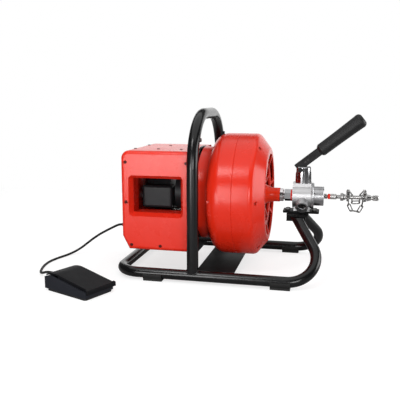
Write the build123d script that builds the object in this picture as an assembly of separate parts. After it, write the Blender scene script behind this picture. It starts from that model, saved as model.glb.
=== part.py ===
from build123d import *
import math
import os

# Drum drain cleaning machine with a chain tool and a foot switch, in millimetres.
# +X runs along the drum axis towards the tool, +Y away from the operator, +Z up from the floor.
# The origin lies on the floor under the drum axis, in the plane of the carrying hoop.

# Fits
weld_gap = 0.15
seat_gap = 0.1
run_gap = 0.05
clear_gap = 0.4

# Tube frame
tube_d = 25.0
tube_wall = 2.0
foot_pad = 4.0
rail_half = 162.5
rear_bar_x = -187.5
rear_bend = 55.0
leg_bend_x = 215.7
leg_bend = 63.0
leg_turn = 118.5
leg_top_half = 13.4
rail_z = foot_pad + tube_d / 2

# Carrying hoop
hoop_d = 27.0
hoop_wall = 2.0
hoop_height = 400.0
hoop_bend = 120.0
hoop_screw_z = 330.0
hoop_screw_r = 4.5
hoop_screw_head = 3.0

# Cross plate and rubber shoes
cross_x = 0.5
cross_length = 90.0
cross_thick = 4.0
shoe_length = 45.0
shoe_rear_x = -95.0
shoe_front_x = 203.0
shoe_wall = 4.0
shoe_flat = 24.0

# Bearing plate and drum bearings
axis_z = 188.0
plate_front_x = -9.0
plate_thick = 5.0
plate_top_r = 118.0
plate_low_z = 48.0
plate_band = 70.0
plate_back_x = plate_front_x - plate_thick
bearing_r = 26.0
bearing_width = 15.0
bearing_wall = 4.0
bearing_flange_r = 40.0
bearing_flange = 6.0
shaft_r = 12.5

# Drum
drum_r = 150.0
drum_wall = 3.5
rear_shoulder = 34.0
drum_round = 16.0
face_round = 12.0
seam_chamfer = 0.8
collar_x = -5.0
rear_x = 22.0
rear_wall_x = 15.0
seam_x = 86.0
front_edge_x = 131.0
front_x = 158.6
front_r = 114.0
rim_r = 102.0
rim_thick = 4.5
hub_r = 30.0
dish_depth = 16.0
spoke_count = 7
spoke_width = 7.0
web_r = 71.0
web_width = 9.0
drum_screw_count = 6
drum_screw_inset = 14.0
drum_boss_r = 6.0
drum_screw_r = 2.5
drum_head_r = 4.2
drum_head = 4.0
drum_pocket_r = 5.0
front_pocket_x = 134.0
rear_pocket_x = 40.0
hub_hole_r = 34.0
hub_flange_r = 44.0
hub_flange = 6.5
hub_screw_circle = 39.0

# Gears and motor
gear_module = 1.5
gear_teeth = 42
pinion_teeth = 14
gear_width = 14.0
gear_back_x = -42.0
backlash = 0.25
case_wall = 3.0
case_back_x = -74.0
motor_r = 57.0
motor_front_x = -92.0
motor_flange_r = 66.0
motor_flange = 6.0
motor_stator_x = -140.0
motor_back_x = -170.0
motor_shaft_r = 6.0
spacer_r = 7.0
spacer_circle = 58.0
spacer_angles = [-118, -65, 65, 118]
bolt_r = 3.0
bolt_head_r = 5.5
bolt_head = 3.5
box_x = -116.5
box_length = 78.0
box_near_y = -60.0
box_depth = 34.0
box_z = 181.0
box_height = 56.0
box_round = 7.0

# Housing
housing_back_x = -190.0
housing_half = 115.0
housing_low_z = 57.5
housing_top_z = 300.0
housing_wall = 3.0
cover_depth = 19.0
cover_round = 8.5
top_corner = 20.0
low_chamfer_x = 17.0
low_chamfer_z = 33.0
window_x = -103.0
window_z = 191.0
window_length = 136.0
window_height = 100.0
window_corner = 10.0
window_depth = 14.0
window_taper = 30.0
sleeve_gap = 4.0
cover_screw_places = [(-178, 272), (-178, 175), (-166, 69), (-93, 69), (-27, 272)]
cover_boss_r = 7.0
cover_head_r = 3.8
cover_recess_r = 4.4
cover_recess = 2.0
screw_head = 1.2
top_screw_x = [-172, -112, -54]
top_screw_y = 55.0

# Rear panel
knob_z = 235.0
knob_r = 18.0
knob_depth = 18.0
knob_spindle_r = 4.0
gland_z = 102.5
gland_y = -45.0
mains_gland_y = 45.0
gland_flange_r = 9.0
gland_flange = 4.0
gland_r = 5.9
cord_d = 6.0
gland_length = 20.0

# Nose and feed inlet
nose_base_r = 27.0
nose_r = 17.25
nose_straight_x = 172.0
nose_end_x = 183.6
nose_bore_r = 8.0
collar_length = 9.4
collar_ring_r = 16.0
pilot_r = 11.0
pilot_length = 11.0
inlet_x = 195.6
inlet_hex_r = 14.8
inlet_ring_x = 210.5
inlet_ring_r = 14.5

# Spiral and chain tool
spiral_d = 13.0
coil_loops = 6
coil_pitch = 13.7
coil_start_x = 44.0
guide_r = 9.0
guide_wall = 1.2
guide_straight = 45.0
guide_mouth = 60.0
guide_rise = 15.0
guide_bend_step = 5.0
end_wire = 2.2
end_pitch = 2.8
end_turns = 4
coupling_x = 299.0
coupling_length = 22.0
coupling_r = 6.5
band_length = 6.0
tool_rod_r = 4.5
hub_first_x = 329.0
hub_length = 12.0
hub_outer_r = 9.5
hub_neck_r = 7.0
hub_second_x = 390.5
hub_second_length = 9.5
chain_collar_x = [343.5, 383.0]
chain_collar_length = 6.0
chain_collar_r = 10.2
tip_x = 404.0
tip_length = 14.0
tip_r = 6.5
link_wire = 2.0
link_length = 12.0
link_width = 7.4
link_pitch = 7.75
chain_low_z = [150.5, 167.0]
chain_top_z = [172.4, 184.0]
chain_y = [-4.0, 9.5]
chain_half = [20.0, 13.4]

# Feed unit
feed_x = 215.5
feed_length = 44.5
feed_r = 31.0
feed_pad_half = 20.0
feed_pad_z = 220.0
feed_foot_half = 17.0
feed_bore_r = 8.5
boss_r = 15.0
boss_reach = 47.0
boss_recess_r = 11.8
boss_recess = 10.0
boss_angle = 120.0
roller_x = 239.5
roller_r = 9.0
roller_width = 7.0
roller_skew = 15.0
roller_pin_r = 2.5
carrier_r = 10.0
carrier_end = 38.0
nozzle_flange_r = 32.0
nozzle_flange = 6.0
flange_chamfer = 0.8
nozzle_r = 23.5
nozzle_length = 24.0
post_r = 19.0
post_neck_r = 18.0
post_step_z = 246.0
post_top_z = 259.5
post_floor = 5.0
stem_r = 6.0
plunger_head = 3.3
spring_wire = 1.8
spring_turns = 4
slot_half = 5.6

# Feed lever
pivot_x = 232.5
pivot_z = 252.5
pivot_r = 3.0
pivot_head_r = 5.5
lever_angle = 38.7
lever_press = 25.0
bar_thick = 10.0
bar_width = 20.0
bar_rise = 7.9
bar_tail = 6.0
cam_r = 10.0
cam_offset = 8.0
cam_angle = 10.0
eye_r = 7.5
grip_start = 62.0
grip_length = 126.0
grip_near_r = 15.6
grip_collar = 5.0
grip_far_r = 17.2
tang_length = 60.0
tang_width = 14.0
tang_thick = 6.0
lever_screw_along = [20.0, 28.0]
lever_screw_r = 2.6

# Bracket under the feed unit
feed_plate_x = 193.0
feed_plate_length = 87.0
feed_plate_half = 21.0
feed_plate_thick = 5.0
feed_plate_z = 147.0
bracket_x = 205.0
bracket_length = 50.0
bracket_half = 48.0
bracket_thick = 4.0
channel_x = 203.0
channel_length = 45.0
channel_half = 29.0
channel_drop = 18.5

# Foot switch, placed by its rear corner on the floor and turned about it
pedal_x = -305.3
pedal_y = -286.7
pedal_turn = -23.1
pedal_length = 123.5
pedal_width = 85.0
pedal_flare = 4.0
pedal_pad = 4.0
pedal_wall = 4.0
pedal_floor = 4.0
pedal_overhang = 9.0
pedal_back = 30.0
pedal_tall = 36.5
pedal_tall_along = 9.0
pedal_low = 17.5
pedal_back_z = 29.0
pedal_sill_z = 10.0
treadle_start = -7.0
treadle_end = 130.5
treadle_back = 35.0
treadle_tall = 39.8
treadle_tall_along = 32.0
treadle_low = 22.5
treadle_thick = 3.5
treadle_skirt = 2.0
treadle_lip_z = 13.0
treadle_side_gap = 1.0
hinge_along = 8.0
hinge_z = 14.7
hinge_r = 2.5
treadle_press = 4.0
pedal_spring_along = 80.0
pedal_spring_r = 6.0
pedal_spring_wire = 1.6
pedal_spring_turns = 5
switch_along = 50.0
switch_across = 19.0
switch_length = 28.0
switch_width = 10.0
switch_height = 17.0
pedal_gland_across = 46.0
pedal_gland_z = 22.0
pedal_gland_r = 5.5

# Foot switch cord, from the housing gland to the switch: points chosen by hand along the route
cord_points = [
    (-223, -45, 102.5), (-240, -37, 94), (-262, -26, 82), (-290, -12, 66.5), (-318, 3, 48), (-342, 13, 30),
    (-358, 14, 17.5), (-372, 6, 8.5), (-382, -9, 4.2), (-389, -29, 3.2), (-398, -57, 3.2), (-403, -88, 3.2),
    (-400, -121, 3.2), (-391, -152, 3.2), (-379, -181, 4.2), (-362, -204, 10), (-339.8, -222, 20),
]

parts = {}


# Basic solids along the axes
def rod_x(radius, x0, x1, y=0.0, z=axis_z):
    plane = Plane(origin=(x0, y, z), x_dir=(0, 1, 0), z_dir=(1, 0, 0))
    return extrude(plane * Circle(radius), amount=x1 - x0)


def rod_y(radius, y0, y1, x, z):
    plane = Plane(origin=(x, y0, z), x_dir=(1, 0, 0), z_dir=(0, 1, 0))
    return extrude(plane * Circle(radius), amount=y1 - y0)


def rod_z(radius, z0, z1, x, y):
    return extrude(Pos(x, y, z0) * Circle(radius), amount=z1 - z0)


def block(x0, x1, y0, y1, z0, z1):
    return Pos((x0 + x1) / 2, (y0 + y1) / 2, (z0 + z1) / 2) * Box(x1 - x0, y1 - y0, z1 - z0)


def turned(points, y=0.0, z=axis_z):
    """Solid of revolution about an axis along X, from (x, radius) points."""
    plane = Plane(origin=(0, y, z), x_dir=(1, 0, 0), z_dir=(0, -1, 0))
    face = plane * make_face(Polyline(*points, close=True))
    return revolve(face, axis=Axis((0, y, z), (1, 0, 0)))


def side_profile(points, y0, y1):
    """Outline of (x, z) points, extruded along Y."""
    plane = Plane(origin=(0, y0, 0), x_dir=(1, 0, 0), z_dir=(0, -1, 0))
    face = plane * make_face(Polyline(*points, close=True))
    return extrude(face, amount=y0 - y1)


def inner_line(p, q, wall):
    """A sloping wall's inner line: the line p to q moved in by the wall."""
    run = math.dist(p, q)
    step = (wall * (q[1] - p[1]) / run, -wall * (q[0] - p[0]) / run)
    return (p[0] + step[0], p[1] + step[1]), (q[0] + step[0], q[1] + step[1])


def at_radius(line, r):
    p, q = line
    return (p[0] + (q[0] - p[0]) * (r - p[1]) / (q[1] - p[1]), r)


def at_x(line, x):
    p, q = line
    return (x, p[1] + (q[1] - p[1]) * (x - p[0]) / (q[0] - p[0]))


def bent_tube(points, radius, outer_d, wall):
    path = FilletPolyline(*points, radius=radius)
    start = Plane(origin=path @ 0, z_dir=path % 0)
    return sweep(start * (Circle(outer_d / 2) - Circle(outer_d / 2 - wall)), path=path)


def biarc(p0, t0, p1, t1):
    """Two tangent arcs from p0 to p1 that keep both end directions."""
    span = p1 - p0
    both = t0 + t1
    a = 2 * (1 - t0.dot(t1))
    b = 2 * span.dot(both)
    reach = (-b + math.sqrt(b * b + 4 * a * span.dot(span))) / (2 * a)
    first = p0 + t0 * reach
    second = p1 - t1 * reach
    middle = (first + second) * 0.5
    return [
        TangentArc(p0, middle, tangent=t0),
        TangentArc(middle, p1, tangent=(second - first).normalized()),
    ]


def winding(centre, axis, side, radius, pitch, turns, wire, tail):
    """One unbroken wire wound round an axis, with a straight tail at each end."""
    centre, axis, side = Vector(centre), Vector(axis), Vector(side)
    other = axis.cross(side)

    def place(turn):
        angle = 2 * math.pi * turn
        return centre + axis * (pitch * turn) + (side * math.cos(angle) + other * math.sin(angle)) * radius

    def heading(turn):
        angle = 2 * math.pi * turn
        round_way = (other * math.cos(angle) - side * math.sin(angle)) * (2 * math.pi * radius)
        return (axis * pitch + round_way).normalized()

    edges = [Line(place(0) - heading(0) * tail, place(0))]
    for half in range(2 * turns):
        edges += biarc(place(half / 2), heading(half / 2), place(half / 2 + 0.5), heading(half / 2 + 0.5))
    edges.append(Line(place(turns), place(turns) + heading(turns) * tail))
    path = Wire([edge for edge in edges])
    start = Plane(origin=path @ 0, z_dir=path % 0)
    solid = sweep(start * Circle(wire / 2), path=path)
    steps = 36
    dots = [place(k / steps) for k in range(steps * turns + 1)]
    gap = min((dots[i] - dots[j]).length for i in range(len(dots)) for j in range(i + steps // 2, len(dots)))
    print("winding gap to itself", round(gap - wire, 2), "volume share",
          round(solid.volume / (path.length * math.pi * wire * wire / 4), 4))
    return solid


def group(solids):
    return Compound([solid.solid() for solid in solids])


# Base frame: one tube bent into the front legs, the rails and the rear bar
def frame_sweep(section):
    reach = leg_bend * math.tan(math.radians(leg_turn / 2))
    top_z = feed_plate_z + tube_d
    turn, lean = math.radians(leg_turn), math.atan2(top_z - rail_z, rail_half - leg_top_half)
    corner_x = leg_bend_x + reach
    heading = (math.cos(turn), math.sin(turn) * math.cos(lean), math.sin(turn) * math.sin(lean))
    top_x, top_y = corner_x + (top_z - rail_z) * heading[0] / heading[2], leg_top_half
    points = [
        (top_x, -top_y, top_z), (corner_x, -rail_half, rail_z), (rear_bar_x, -rail_half, rail_z),
        (rear_bar_x, rail_half, rail_z), (corner_x, rail_half, rail_z), (top_x, top_y, top_z),
    ]
    path = FilletPolyline(*points, radius=[leg_bend, rear_bend, rear_bend, leg_bend])
    return sweep(Plane(origin=path @ 0, z_dir=path % 0) * section, path=path)


def make_base_frame():
    tube = frame_sweep(Circle(tube_d / 2)) - frame_sweep(Circle(tube_d / 2 - tube_wall))
    top = feed_plate_z - bracket_thick - weld_gap
    return tube - block(0, 2 * leg_bend_x, -rail_half, rail_half, top, top + 3 * tube_d)


def make_carry_hoop():
    top_z = hoop_height - hoop_d / 2
    foot_z = rail_z + tube_d / 4
    points = [(0, -rail_half, foot_z), (0, -rail_half, top_z), (0, rail_half, top_z), (0, rail_half, foot_z)]
    hoop = bent_tube(points, hoop_bend, hoop_d, hoop_wall)
    for side in (-1, 1):
        hoop -= rod_x(tube_d / 2 + weld_gap, -hoop_d, hoop_d, side * rail_half, rail_z)
    return hoop


def make_cross_plate():
    half = rail_half - tube_d / 2 - weld_gap
    return block(cross_x, cross_x + cross_length, -half, half, rail_z - cross_thick / 2, rail_z + cross_thick / 2)


def make_rubber_feet():
    shoes = []
    outer = tube_d / 2 + shoe_wall
    seat = frame_sweep(Circle(tube_d / 2 + seat_gap))
    for x in (shoe_rear_x, shoe_front_x):
        for side in (-1, 1):
            y = side * rail_half
            shell = rod_x(outer, x - shoe_length / 2, x + shoe_length / 2, y, rail_z)
            shell += block(x - shoe_length / 2, x + shoe_length / 2, y - shoe_flat / 2, y + shoe_flat / 2, 0, rail_z)
            shell -= block(x - shoe_length, x + shoe_length, y - outer, y + outer, -tube_d, 0)
            shell -= block(x - shoe_length, x + shoe_length, y - outer, y + outer, rail_z + 1, rail_z + tube_d)
            shoes.append(shell - seat)
    return group(shoes)


parts["base_frame"] = make_base_frame()
parts["carry_hoop"] = make_carry_hoop()
parts["cross_plate"] = make_cross_plate()
parts["rubber_feet"] = make_rubber_feet()


# Motor place: beside the drum axis, at the gear pair's centre distance
motor_y = gear_module * (gear_teeth + pinion_teeth) / 2
bearing_front_x = 2 * bearing_width - bearing_flange + plate_back_x + 1
bearing_rear_x = plate_back_x - bearing_flange
spacer_places = [
    (motor_y + spacer_circle * math.cos(math.radians(a)), axis_z + spacer_circle * math.sin(math.radians(a)))
    for a in spacer_angles
]


def make_bearing_plate():
    """Steel plate between the hoop legs that carries the drum, the gears and the motor."""
    half = rail_half - math.sqrt((hoop_d / 2) ** 2 - plate_front_x ** 2) - weld_gap
    plate = rod_x(plate_top_r, plate_back_x, plate_front_x)
    plate += block(plate_back_x, plate_front_x, -half, half, plate_low_z, plate_low_z + plate_band)
    plate -= rod_x(bearing_r + bearing_wall + seat_gap, plate_back_x, plate_front_x)
    for y, z in spacer_places:
        plate -= rod_x(bolt_r + seat_gap, plate_back_x, plate_front_x, y, z)
    return plate


def make_bearing_housing():
    barrel = rod_x(bearing_r + bearing_wall, bearing_rear_x, bearing_front_x)
    barrel += rod_x(bearing_flange_r, bearing_rear_x, plate_back_x)
    barrel -= rod_x(bearing_r, bearing_rear_x, bearing_front_x)
    return barrel


def make_drum_bearings():
    rings = []
    shield = 0.8
    groove_r = (shaft_r + bearing_r) / 2
    for x in (bearing_rear_x + 0.5, bearing_rear_x + bearing_width + 0.5):
        ring = rod_x(bearing_r - seat_gap, x, x + bearing_width) - rod_x(shaft_r, x, x + bearing_width)
        for x0 in (x - 1, x + bearing_width - shield):
            cut = rod_x(groove_r + 4, x0, x0 + 1 + shield * (x0 < x)) - rod_x(groove_r - 4, x0, x0 + 2)
            ring -= cut
        rings.append(ring)
    return group(rings)


def make_gear_case():
    """Oval cover over the gear pair, open towards the bearing plate."""
    gear_room = bearing_flange_r + 2.5
    pinion_room = gear_module * pinion_teeth / 2 + 3 * gear_module
    plane = Plane(origin=(case_back_x, 0, axis_z), x_dir=(0, 1, 0), z_dir=(1, 0, 0))

    def oval(extra):
        edges = Circle(gear_room + extra).edges() + (Pos(motor_y, 0) * Circle(pinion_room + extra)).edges()
        return make_hull(edges)

    case = extrude(plane * oval(case_wall), amount=plate_back_x - case_back_x)
    inner = Plane(origin=(case_back_x + case_wall, 0, axis_z), x_dir=(0, 1, 0), z_dir=(1, 0, 0))
    case -= extrude(inner * oval(0), amount=plate_back_x - case_back_x)
    case -= rod_x(motor_shaft_r + clear_gap, case_back_x - 1, case_back_x + 2 * case_wall, motor_y)
    return case


def involute_gear(teeth, y, turn, bore):
    """Spur gear with involute flanks; a tooth points along +Y when turn is zero."""
    pitch_r = gear_module * teeth / 2
    base_r = pitch_r * math.cos(math.radians(20))
    root_r = pitch_r - 1.25 * gear_module
    tip_r = pitch_r + 0.9 * gear_module
    lean = math.tan(math.radians(20)) - math.radians(20)

    def half_angle(r):
        press = math.acos(min(1, base_r / r))
        return math.pi / (2 * teeth) - backlash / (2 * pitch_r) + lean - (math.tan(press) - press)

    radii = [root_r, max(root_r, base_r) + 0.05, pitch_r, tip_r]
    points = []
    for tooth in range(teeth):
        centre = 2 * math.pi * tooth / teeth + math.radians(turn)
        for sign, order in ((-1, radii), (1, radii[::-1])):
            for r in order:
                angle = centre + sign * half_angle(r)
                points.append((r * math.cos(angle), r * math.sin(angle)))
    plane = Plane(origin=(gear_back_x, y, axis_z), x_dir=(0, 1, 0), z_dir=(1, 0, 0))
    gear = extrude(plane * make_face(Polyline(*points, close=True)), amount=gear_width)
    if bore:
        gear -= rod_x(bore, gear_back_x, gear_back_x + gear_width, y)
    return gear


def make_motor_body():
    """Stator with a round rear cover and the front shield that the spacers hold."""
    crown = motor_stator_x - motor_back_x
    body = rod_x(motor_r, motor_back_x, motor_front_x, motor_y)
    body = fillet(body.faces().sort_by(Axis.X)[0].edges(), crown * 0.8)
    body += rod_x(motor_flange_r, motor_front_x - motor_flange, motor_front_x, motor_y)
    groove_x = motor_stator_x
    ring = rod_x(motor_r + 1, groove_x - 1, groove_x + 1, motor_y)
    body -= ring - rod_x(motor_r - 1.5, groove_x - 2, groove_x + 2, motor_y)
    return body - rod_x(motor_shaft_r + clear_gap, motor_front_x - 20, motor_front_x, motor_y)


def make_spacers():
    spacers = []
    for y, z in spacer_places:
        tube = rod_x(spacer_r, motor_front_x, plate_back_x, y, z)
        spacers.append(tube - rod_x(bolt_r + seat_gap, plate_back_x - 16, plate_back_x, y, z))
    return group(spacers)


def make_capacitor_box():
    """Closed box in front of the motor, with a saddle behind it that sits on the stator."""
    box = block(box_x - box_length / 2, box_x + box_length / 2, box_near_y, box_near_y + box_depth,
                box_z - box_height / 2, box_z + box_height / 2)
    box = fillet(box.edges().filter_by(Axis.Y) + box.edges().group_by(Axis.Y)[0], box_round)
    saddle_end = motor_front_x - 2 * motor_flange
    box += block(box_x - box_length / 3, saddle_end, box_near_y + box_depth - 1, motor_y - motor_r * 0.7,
                 box_z - box_height / 3, box_z + box_height / 3)
    return box - rod_x(motor_r + seat_gap, motor_back_x, motor_front_x, motor_y)


def make_motor_shaft():
    """Motor shaft with its pinion cut in one piece; a tooth gap faces the drum gear."""
    shaft = rod_x(motor_shaft_r, motor_front_x - 18, gear_back_x + gear_width + 2, motor_y)
    return shaft + involute_gear(pinion_teeth, motor_y, 180 / pinion_teeth, 0)


parts["bearing_plate"] = make_bearing_plate()
parts["bearing_housing"] = make_bearing_housing()
parts["drum_bearings"] = make_drum_bearings()
parts["gear_case"] = make_gear_case()
parts["motor_body"] = make_motor_body()
parts["motor_spacers"] = make_spacers()
parts["capacitor_box"] = make_capacitor_box()
parts["motor_shaft"] = make_motor_shaft()
parts["drum_gear"] = involute_gear(gear_teeth, 0, 0, shaft_r)


# Housing: a middle band round the top, rear and bottom, and two side covers
def housing_outline(inset):
    x0, z0, z1 = housing_back_x + inset, housing_low_z + inset, housing_top_z - inset
    x1 = plate_back_x - seat_gap
    slope = inset * (1 - 1 / math.hypot(1, low_chamfer_z / low_chamfer_x))
    cut_x, cut_z = low_chamfer_x - slope, low_chamfer_z - slope * low_chamfer_z / low_chamfer_x
    return [(x1, z0), (x1, z1), (x0, z1), (x0, z0 + cut_z), (x0 + cut_x, z0)]


def housing_block(inset, y0, y1):
    solid = side_profile(housing_outline(inset), y0, y1)
    corner = solid.edges().filter_by(Axis.Y).sort_by(lambda e: e.center().X - e.center().Z)[0]
    return fillet([corner], top_corner - inset)


band_half = housing_half - cover_depth
front_room = 2 * housing_wall


def make_housing_band():
    band = housing_block(0, -band_half + seat_gap, band_half - seat_gap)
    hollow = housing_block(housing_wall, -band_half, band_half)
    band -= hollow + Pos(front_room, 0, 0) * hollow
    for x in top_screw_x:
        for y in (-top_screw_y, top_screw_y):
            band += rod_z(cover_boss_r, housing_top_z - 5 * housing_wall, housing_top_z - 1, x, y)
    for y in (gland_y, mains_gland_y):
        band -= rod_x(gland_r + seat_gap, housing_back_x - 1, housing_back_x + 2 * housing_wall, y, gland_z)
    return band - rod_x(knob_spindle_r + run_gap, housing_back_x - 1, housing_back_x + 2 * housing_wall, 0, knob_z)


def window_taper_solid(outset, depth):
    """Tapered block of the window, from the cover's face inwards."""
    plane = Plane(origin=(window_x, -housing_half, window_z), x_dir=(1, 0, 0), z_dir=(0, 1, 0))
    outline = RectangleRounded(window_length + 2 * outset, window_height + 2 * outset, window_corner + outset)
    return extrude(plane * outline, amount=depth, taper=window_taper)


def make_side_cover():
    cover = housing_block(0, -housing_half, -band_half)
    rim = cover.faces().sort_by(Axis.Y)[0].edges()
    cover = fillet(rim.sort_by(Axis.X)[:-1], cover_round)
    hollow = housing_block(housing_wall, -housing_half + housing_wall, -band_half + 1)
    cover -= hollow + Pos(front_room, 0, 0) * hollow
    cover += window_taper_solid(housing_wall / math.cos(math.radians(window_taper)), window_depth)
    cover -= window_taper_solid(0, window_depth + 1)
    for x, z in cover_screw_places:
        boss = rod_y(cover_boss_r, -housing_half + housing_wall / 2, -band_half, x, z)
        cover += boss & housing_block(0, -housing_half, -band_half)
        cover -= rod_y(cover_recess_r, -housing_half - 1, -housing_half + cover_recess, x, z)
    return cover


def make_housing_screws():
    heads = []
    for x, z in cover_screw_places:
        for side in (-1, 1):
            y = side * (housing_half - cover_recess)
            heads.append(rod_y(cover_head_r, y, y + side * screw_head, x, z))
    for x in top_screw_x:
        for y in (-top_screw_y, top_screw_y):
            heads.append(rod_z(cover_head_r, housing_top_z, housing_top_z + screw_head, x, y))
    return group(heads)


def make_window_sleeve():
    """Straight sleeve behind the near window's taper, up to the capacitor box."""
    start = -housing_half + window_depth
    plane = Plane(origin=(window_x, start, window_z), x_dir=(1, 0, 0), z_dir=(0, 1, 0))
    shrink = window_depth * math.tan(math.radians(window_taper))
    length, height, corner = window_length - 2 * shrink, window_height - 2 * shrink, window_corner - shrink
    room = RectangleRounded(length, height, corner)
    wall = RectangleRounded(length + 2 * housing_wall, height + 2 * housing_wall, corner + housing_wall)
    return extrude(plane * (wall - room), amount=box_near_y - sleeve_gap - start)


side_cover = make_side_cover()
parts["housing_band"] = make_housing_band()
parts["near_cover"] = side_cover + make_window_sleeve()
parts["far_cover"] = mirror(side_cover, about=Plane.XZ)
parts["housing_screws"] = make_housing_screws()


# Rear panel: direction selector and the two lead glands
def make_selector_knob():
    back = housing_back_x - clear_gap
    knob = rod_x(knob_r, back - knob_depth * 0.4, back, 0, knob_z)
    knob += block(back - knob_depth, back, -knob_r * 0.28, knob_r * 0.28, knob_z - knob_r, knob_z + knob_r)
    knob = knob & rod_x(knob_r, back - knob_depth, back, 0, knob_z)
    return knob + rod_x(knob_spindle_r, back, housing_back_x + 3 * housing_wall, 0, knob_z)


def make_glands():
    outer = housing_back_x
    inside = (housing_back_x + 2 * housing_wall, gland_r)
    collar = [inside, (outer, gland_r), (outer, gland_flange_r), (outer - gland_flange, gland_flange_r)]
    tip = [(outer - gland_flange, gland_r), (outer - gland_flange - gland_length, cord_d * 0.8)]
    relief = turned(
        [(inside[0], 0)] + collar + tip + [(outer - gland_flange - gland_length, 0)], gland_y, gland_z)
    inlet = turned(
        [(inside[0], cord_d / 2)] + collar + [(outer - 3 * gland_flange, gland_r),
                                             (outer - 3 * gland_flange, cord_d / 2)], mains_gland_y, gland_z)
    return group([relief, inlet])


parts["selector_knob"] = make_selector_knob()
parts["cord_glands"] = make_glands()


# Drum: rear and front shells, held together by long screws in bosses
collar_r = drum_r - rear_shoulder
drum_screw_circle = drum_r - drum_screw_inset
front_slope = inner_line((front_edge_x, drum_r), (front_x, front_r), drum_wall)
screw_turns = [2 * math.pi * (k + 0.5) / drum_screw_count for k in range(drum_screw_count)]
screw_spots = [(drum_screw_circle * math.sin(a), axis_z + drum_screw_circle * math.cos(a)) for a in screw_turns]


def shoulder_arc(inset):
    """The round rear shoulder's line, moved in by a wall."""
    radius = rear_shoulder - inset
    middle = (rear_x + rear_shoulder, collar_r)
    bend = radius * math.sqrt(0.5)
    return ThreePointArc((middle[0] - radius, middle[1]), (middle[0] - bend, middle[1] + bend),
                         (middle[0], middle[1] + radius))


def turned_lines(lines):
    """Solid of revolution about the drum axis, from lines and arcs in (x, radius)."""
    plane = Plane(origin=(0, 0, axis_z), x_dir=(1, 0, 0), z_dir=(0, -1, 0))
    return revolve(plane * make_face(lines), axis=Axis((0, 0, axis_z), (1, 0, 0)))


def with_bosses(shell, x0, x1):
    arc = shoulder_arc(0)
    skin = turned_lines([
        arc, Line(arc @ 1, (front_edge_x, drum_r)), Line((front_edge_x, drum_r), (front_x, front_r)),
        Line((front_x, front_r), (front_x, 0)), Line((front_x, 0), (rear_x, 0)), Line((rear_x, 0), arc @ 0),
    ])
    for y, z in screw_spots:
        shell += rod_x(drum_boss_r, x0, x1, y, z) & skin
    return shell


def circle_edge(solid, x, radius):
    """The round edges of a turned solid that lie at this place and radius."""
    rings = solid.edges().filter_by(GeomType.CIRCLE)
    return [e for e in rings if abs(e.center().X - x) < 0.01 and abs(e.radius - radius) < 0.01]


def make_drum_rear():
    outer, inner = shoulder_arc(0), shoulder_arc(drum_wall)
    wall_r, wall_front = collar_r - drum_wall, rear_wall_x + drum_wall
    rim = Polyline(outer @ 1, (seam_x, drum_r), (seam_x, drum_r - drum_wall), inner @ 1)
    hub = Polyline(inner @ 0, (rear_x + drum_wall, wall_r), (wall_front, wall_r), (wall_front, hub_hole_r),
                   (rear_wall_x, hub_hole_r), (rear_wall_x, wall_r), (collar_x, wall_r), (collar_x, collar_r),
                   outer @ 0)
    shell = turned_lines(outer.edges() + rim.edges() + inner.edges() + hub.edges())
    shell = chamfer(circle_edge(shell, seam_x, drum_r), seam_chamfer)
    shell = with_bosses(shell, rear_x, seam_x)
    for y, z in screw_spots:
        shell -= rod_x(drum_pocket_r, rear_x, rear_pocket_x, y, z)
        shell -= rod_x(drum_screw_r + seat_gap, rear_x, seam_x, y, z)
    for k in range(drum_screw_count):
        angle = 2 * math.pi * k / drum_screw_count
        y, z = hub_screw_circle * math.sin(angle), axis_z + hub_screw_circle * math.cos(angle)
        shell -= rod_x(drum_screw_r + seat_gap, rear_wall_x - 1, rear_wall_x + drum_wall + 1, y, z)
    return shell


def window_sector(r0, r1, middle, pitch):
    """One opening of the front face: a ring sector with parallel ribs beside it."""
    ring = Circle(r1) - Circle(r0)
    wedge = make_face(Polyline(
        (0, 0), (2 * r1 * math.cos(middle - pitch / 2), 2 * r1 * math.sin(middle - pitch / 2)),
        (2 * r1 * math.cos(middle + pitch / 2), 2 * r1 * math.sin(middle + pitch / 2)), close=True))
    sector = ring & wedge
    for edge in (middle - pitch / 2, middle + pitch / 2):
        rib = Rot(0, 0, math.degrees(edge)) * Pos(r1, 0) * Rectangle(2 * r1, spoke_width)
        sector -= rib
    return fillet(sector.vertices(), 3)


def make_drum_front():
    hub_face = front_x - dish_depth
    hub_back = hub_face - rim_thick
    rim_back = front_x - rim_thick
    shell = turned([
        (seam_x, drum_r), (front_edge_x, drum_r), (front_x, front_r), (front_x, rim_r), (hub_face, hub_r),
        (hub_face, guide_r + clear_gap), (hub_back, guide_r + clear_gap), (hub_back, hub_r), (rim_back, rim_r),
        at_x(front_slope, rim_back), at_radius(front_slope, drum_r - drum_wall), (seam_x, drum_r - drum_wall),
    ])
    inner_edge = at_radius(front_slope, drum_r - drum_wall)
    shell = fillet(circle_edge(shell, front_edge_x, drum_r), drum_round)
    shell = fillet(circle_edge(shell, *inner_edge), drum_round - drum_wall)
    shell = fillet(circle_edge(shell, front_x, front_r), face_round)
    shell = chamfer(circle_edge(shell, seam_x, drum_r), seam_chamfer)
    shell = with_bosses(shell, seam_x, front_x)
    for y, z in screw_spots:
        shell -= rod_x(drum_pocket_r, front_pocket_x, front_x, y, z)
        shell -= rod_x(drum_screw_r + seat_gap, seam_x, front_x, y, z)
    face = Plane(origin=(hub_back - 1, 0, axis_z), x_dir=(0, 1, 0), z_dir=(1, 0, 0))
    pitch = 2 * math.pi / spoke_count
    for k in range(spoke_count):
        outer_middle = math.pi / 2 + pitch * k
        inner_middle = outer_middle + pitch / 2
        outer = window_sector(web_r + web_width / 2, rim_r - 1, outer_middle, pitch)
        inner = window_sector(hub_r + 3, web_r - web_width / 2, inner_middle, pitch)
        shell -= extrude(face * outer, amount=dish_depth + 2 * rim_thick)
        shell -= extrude(face * inner, amount=dish_depth + 2 * rim_thick)
    return shell


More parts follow.
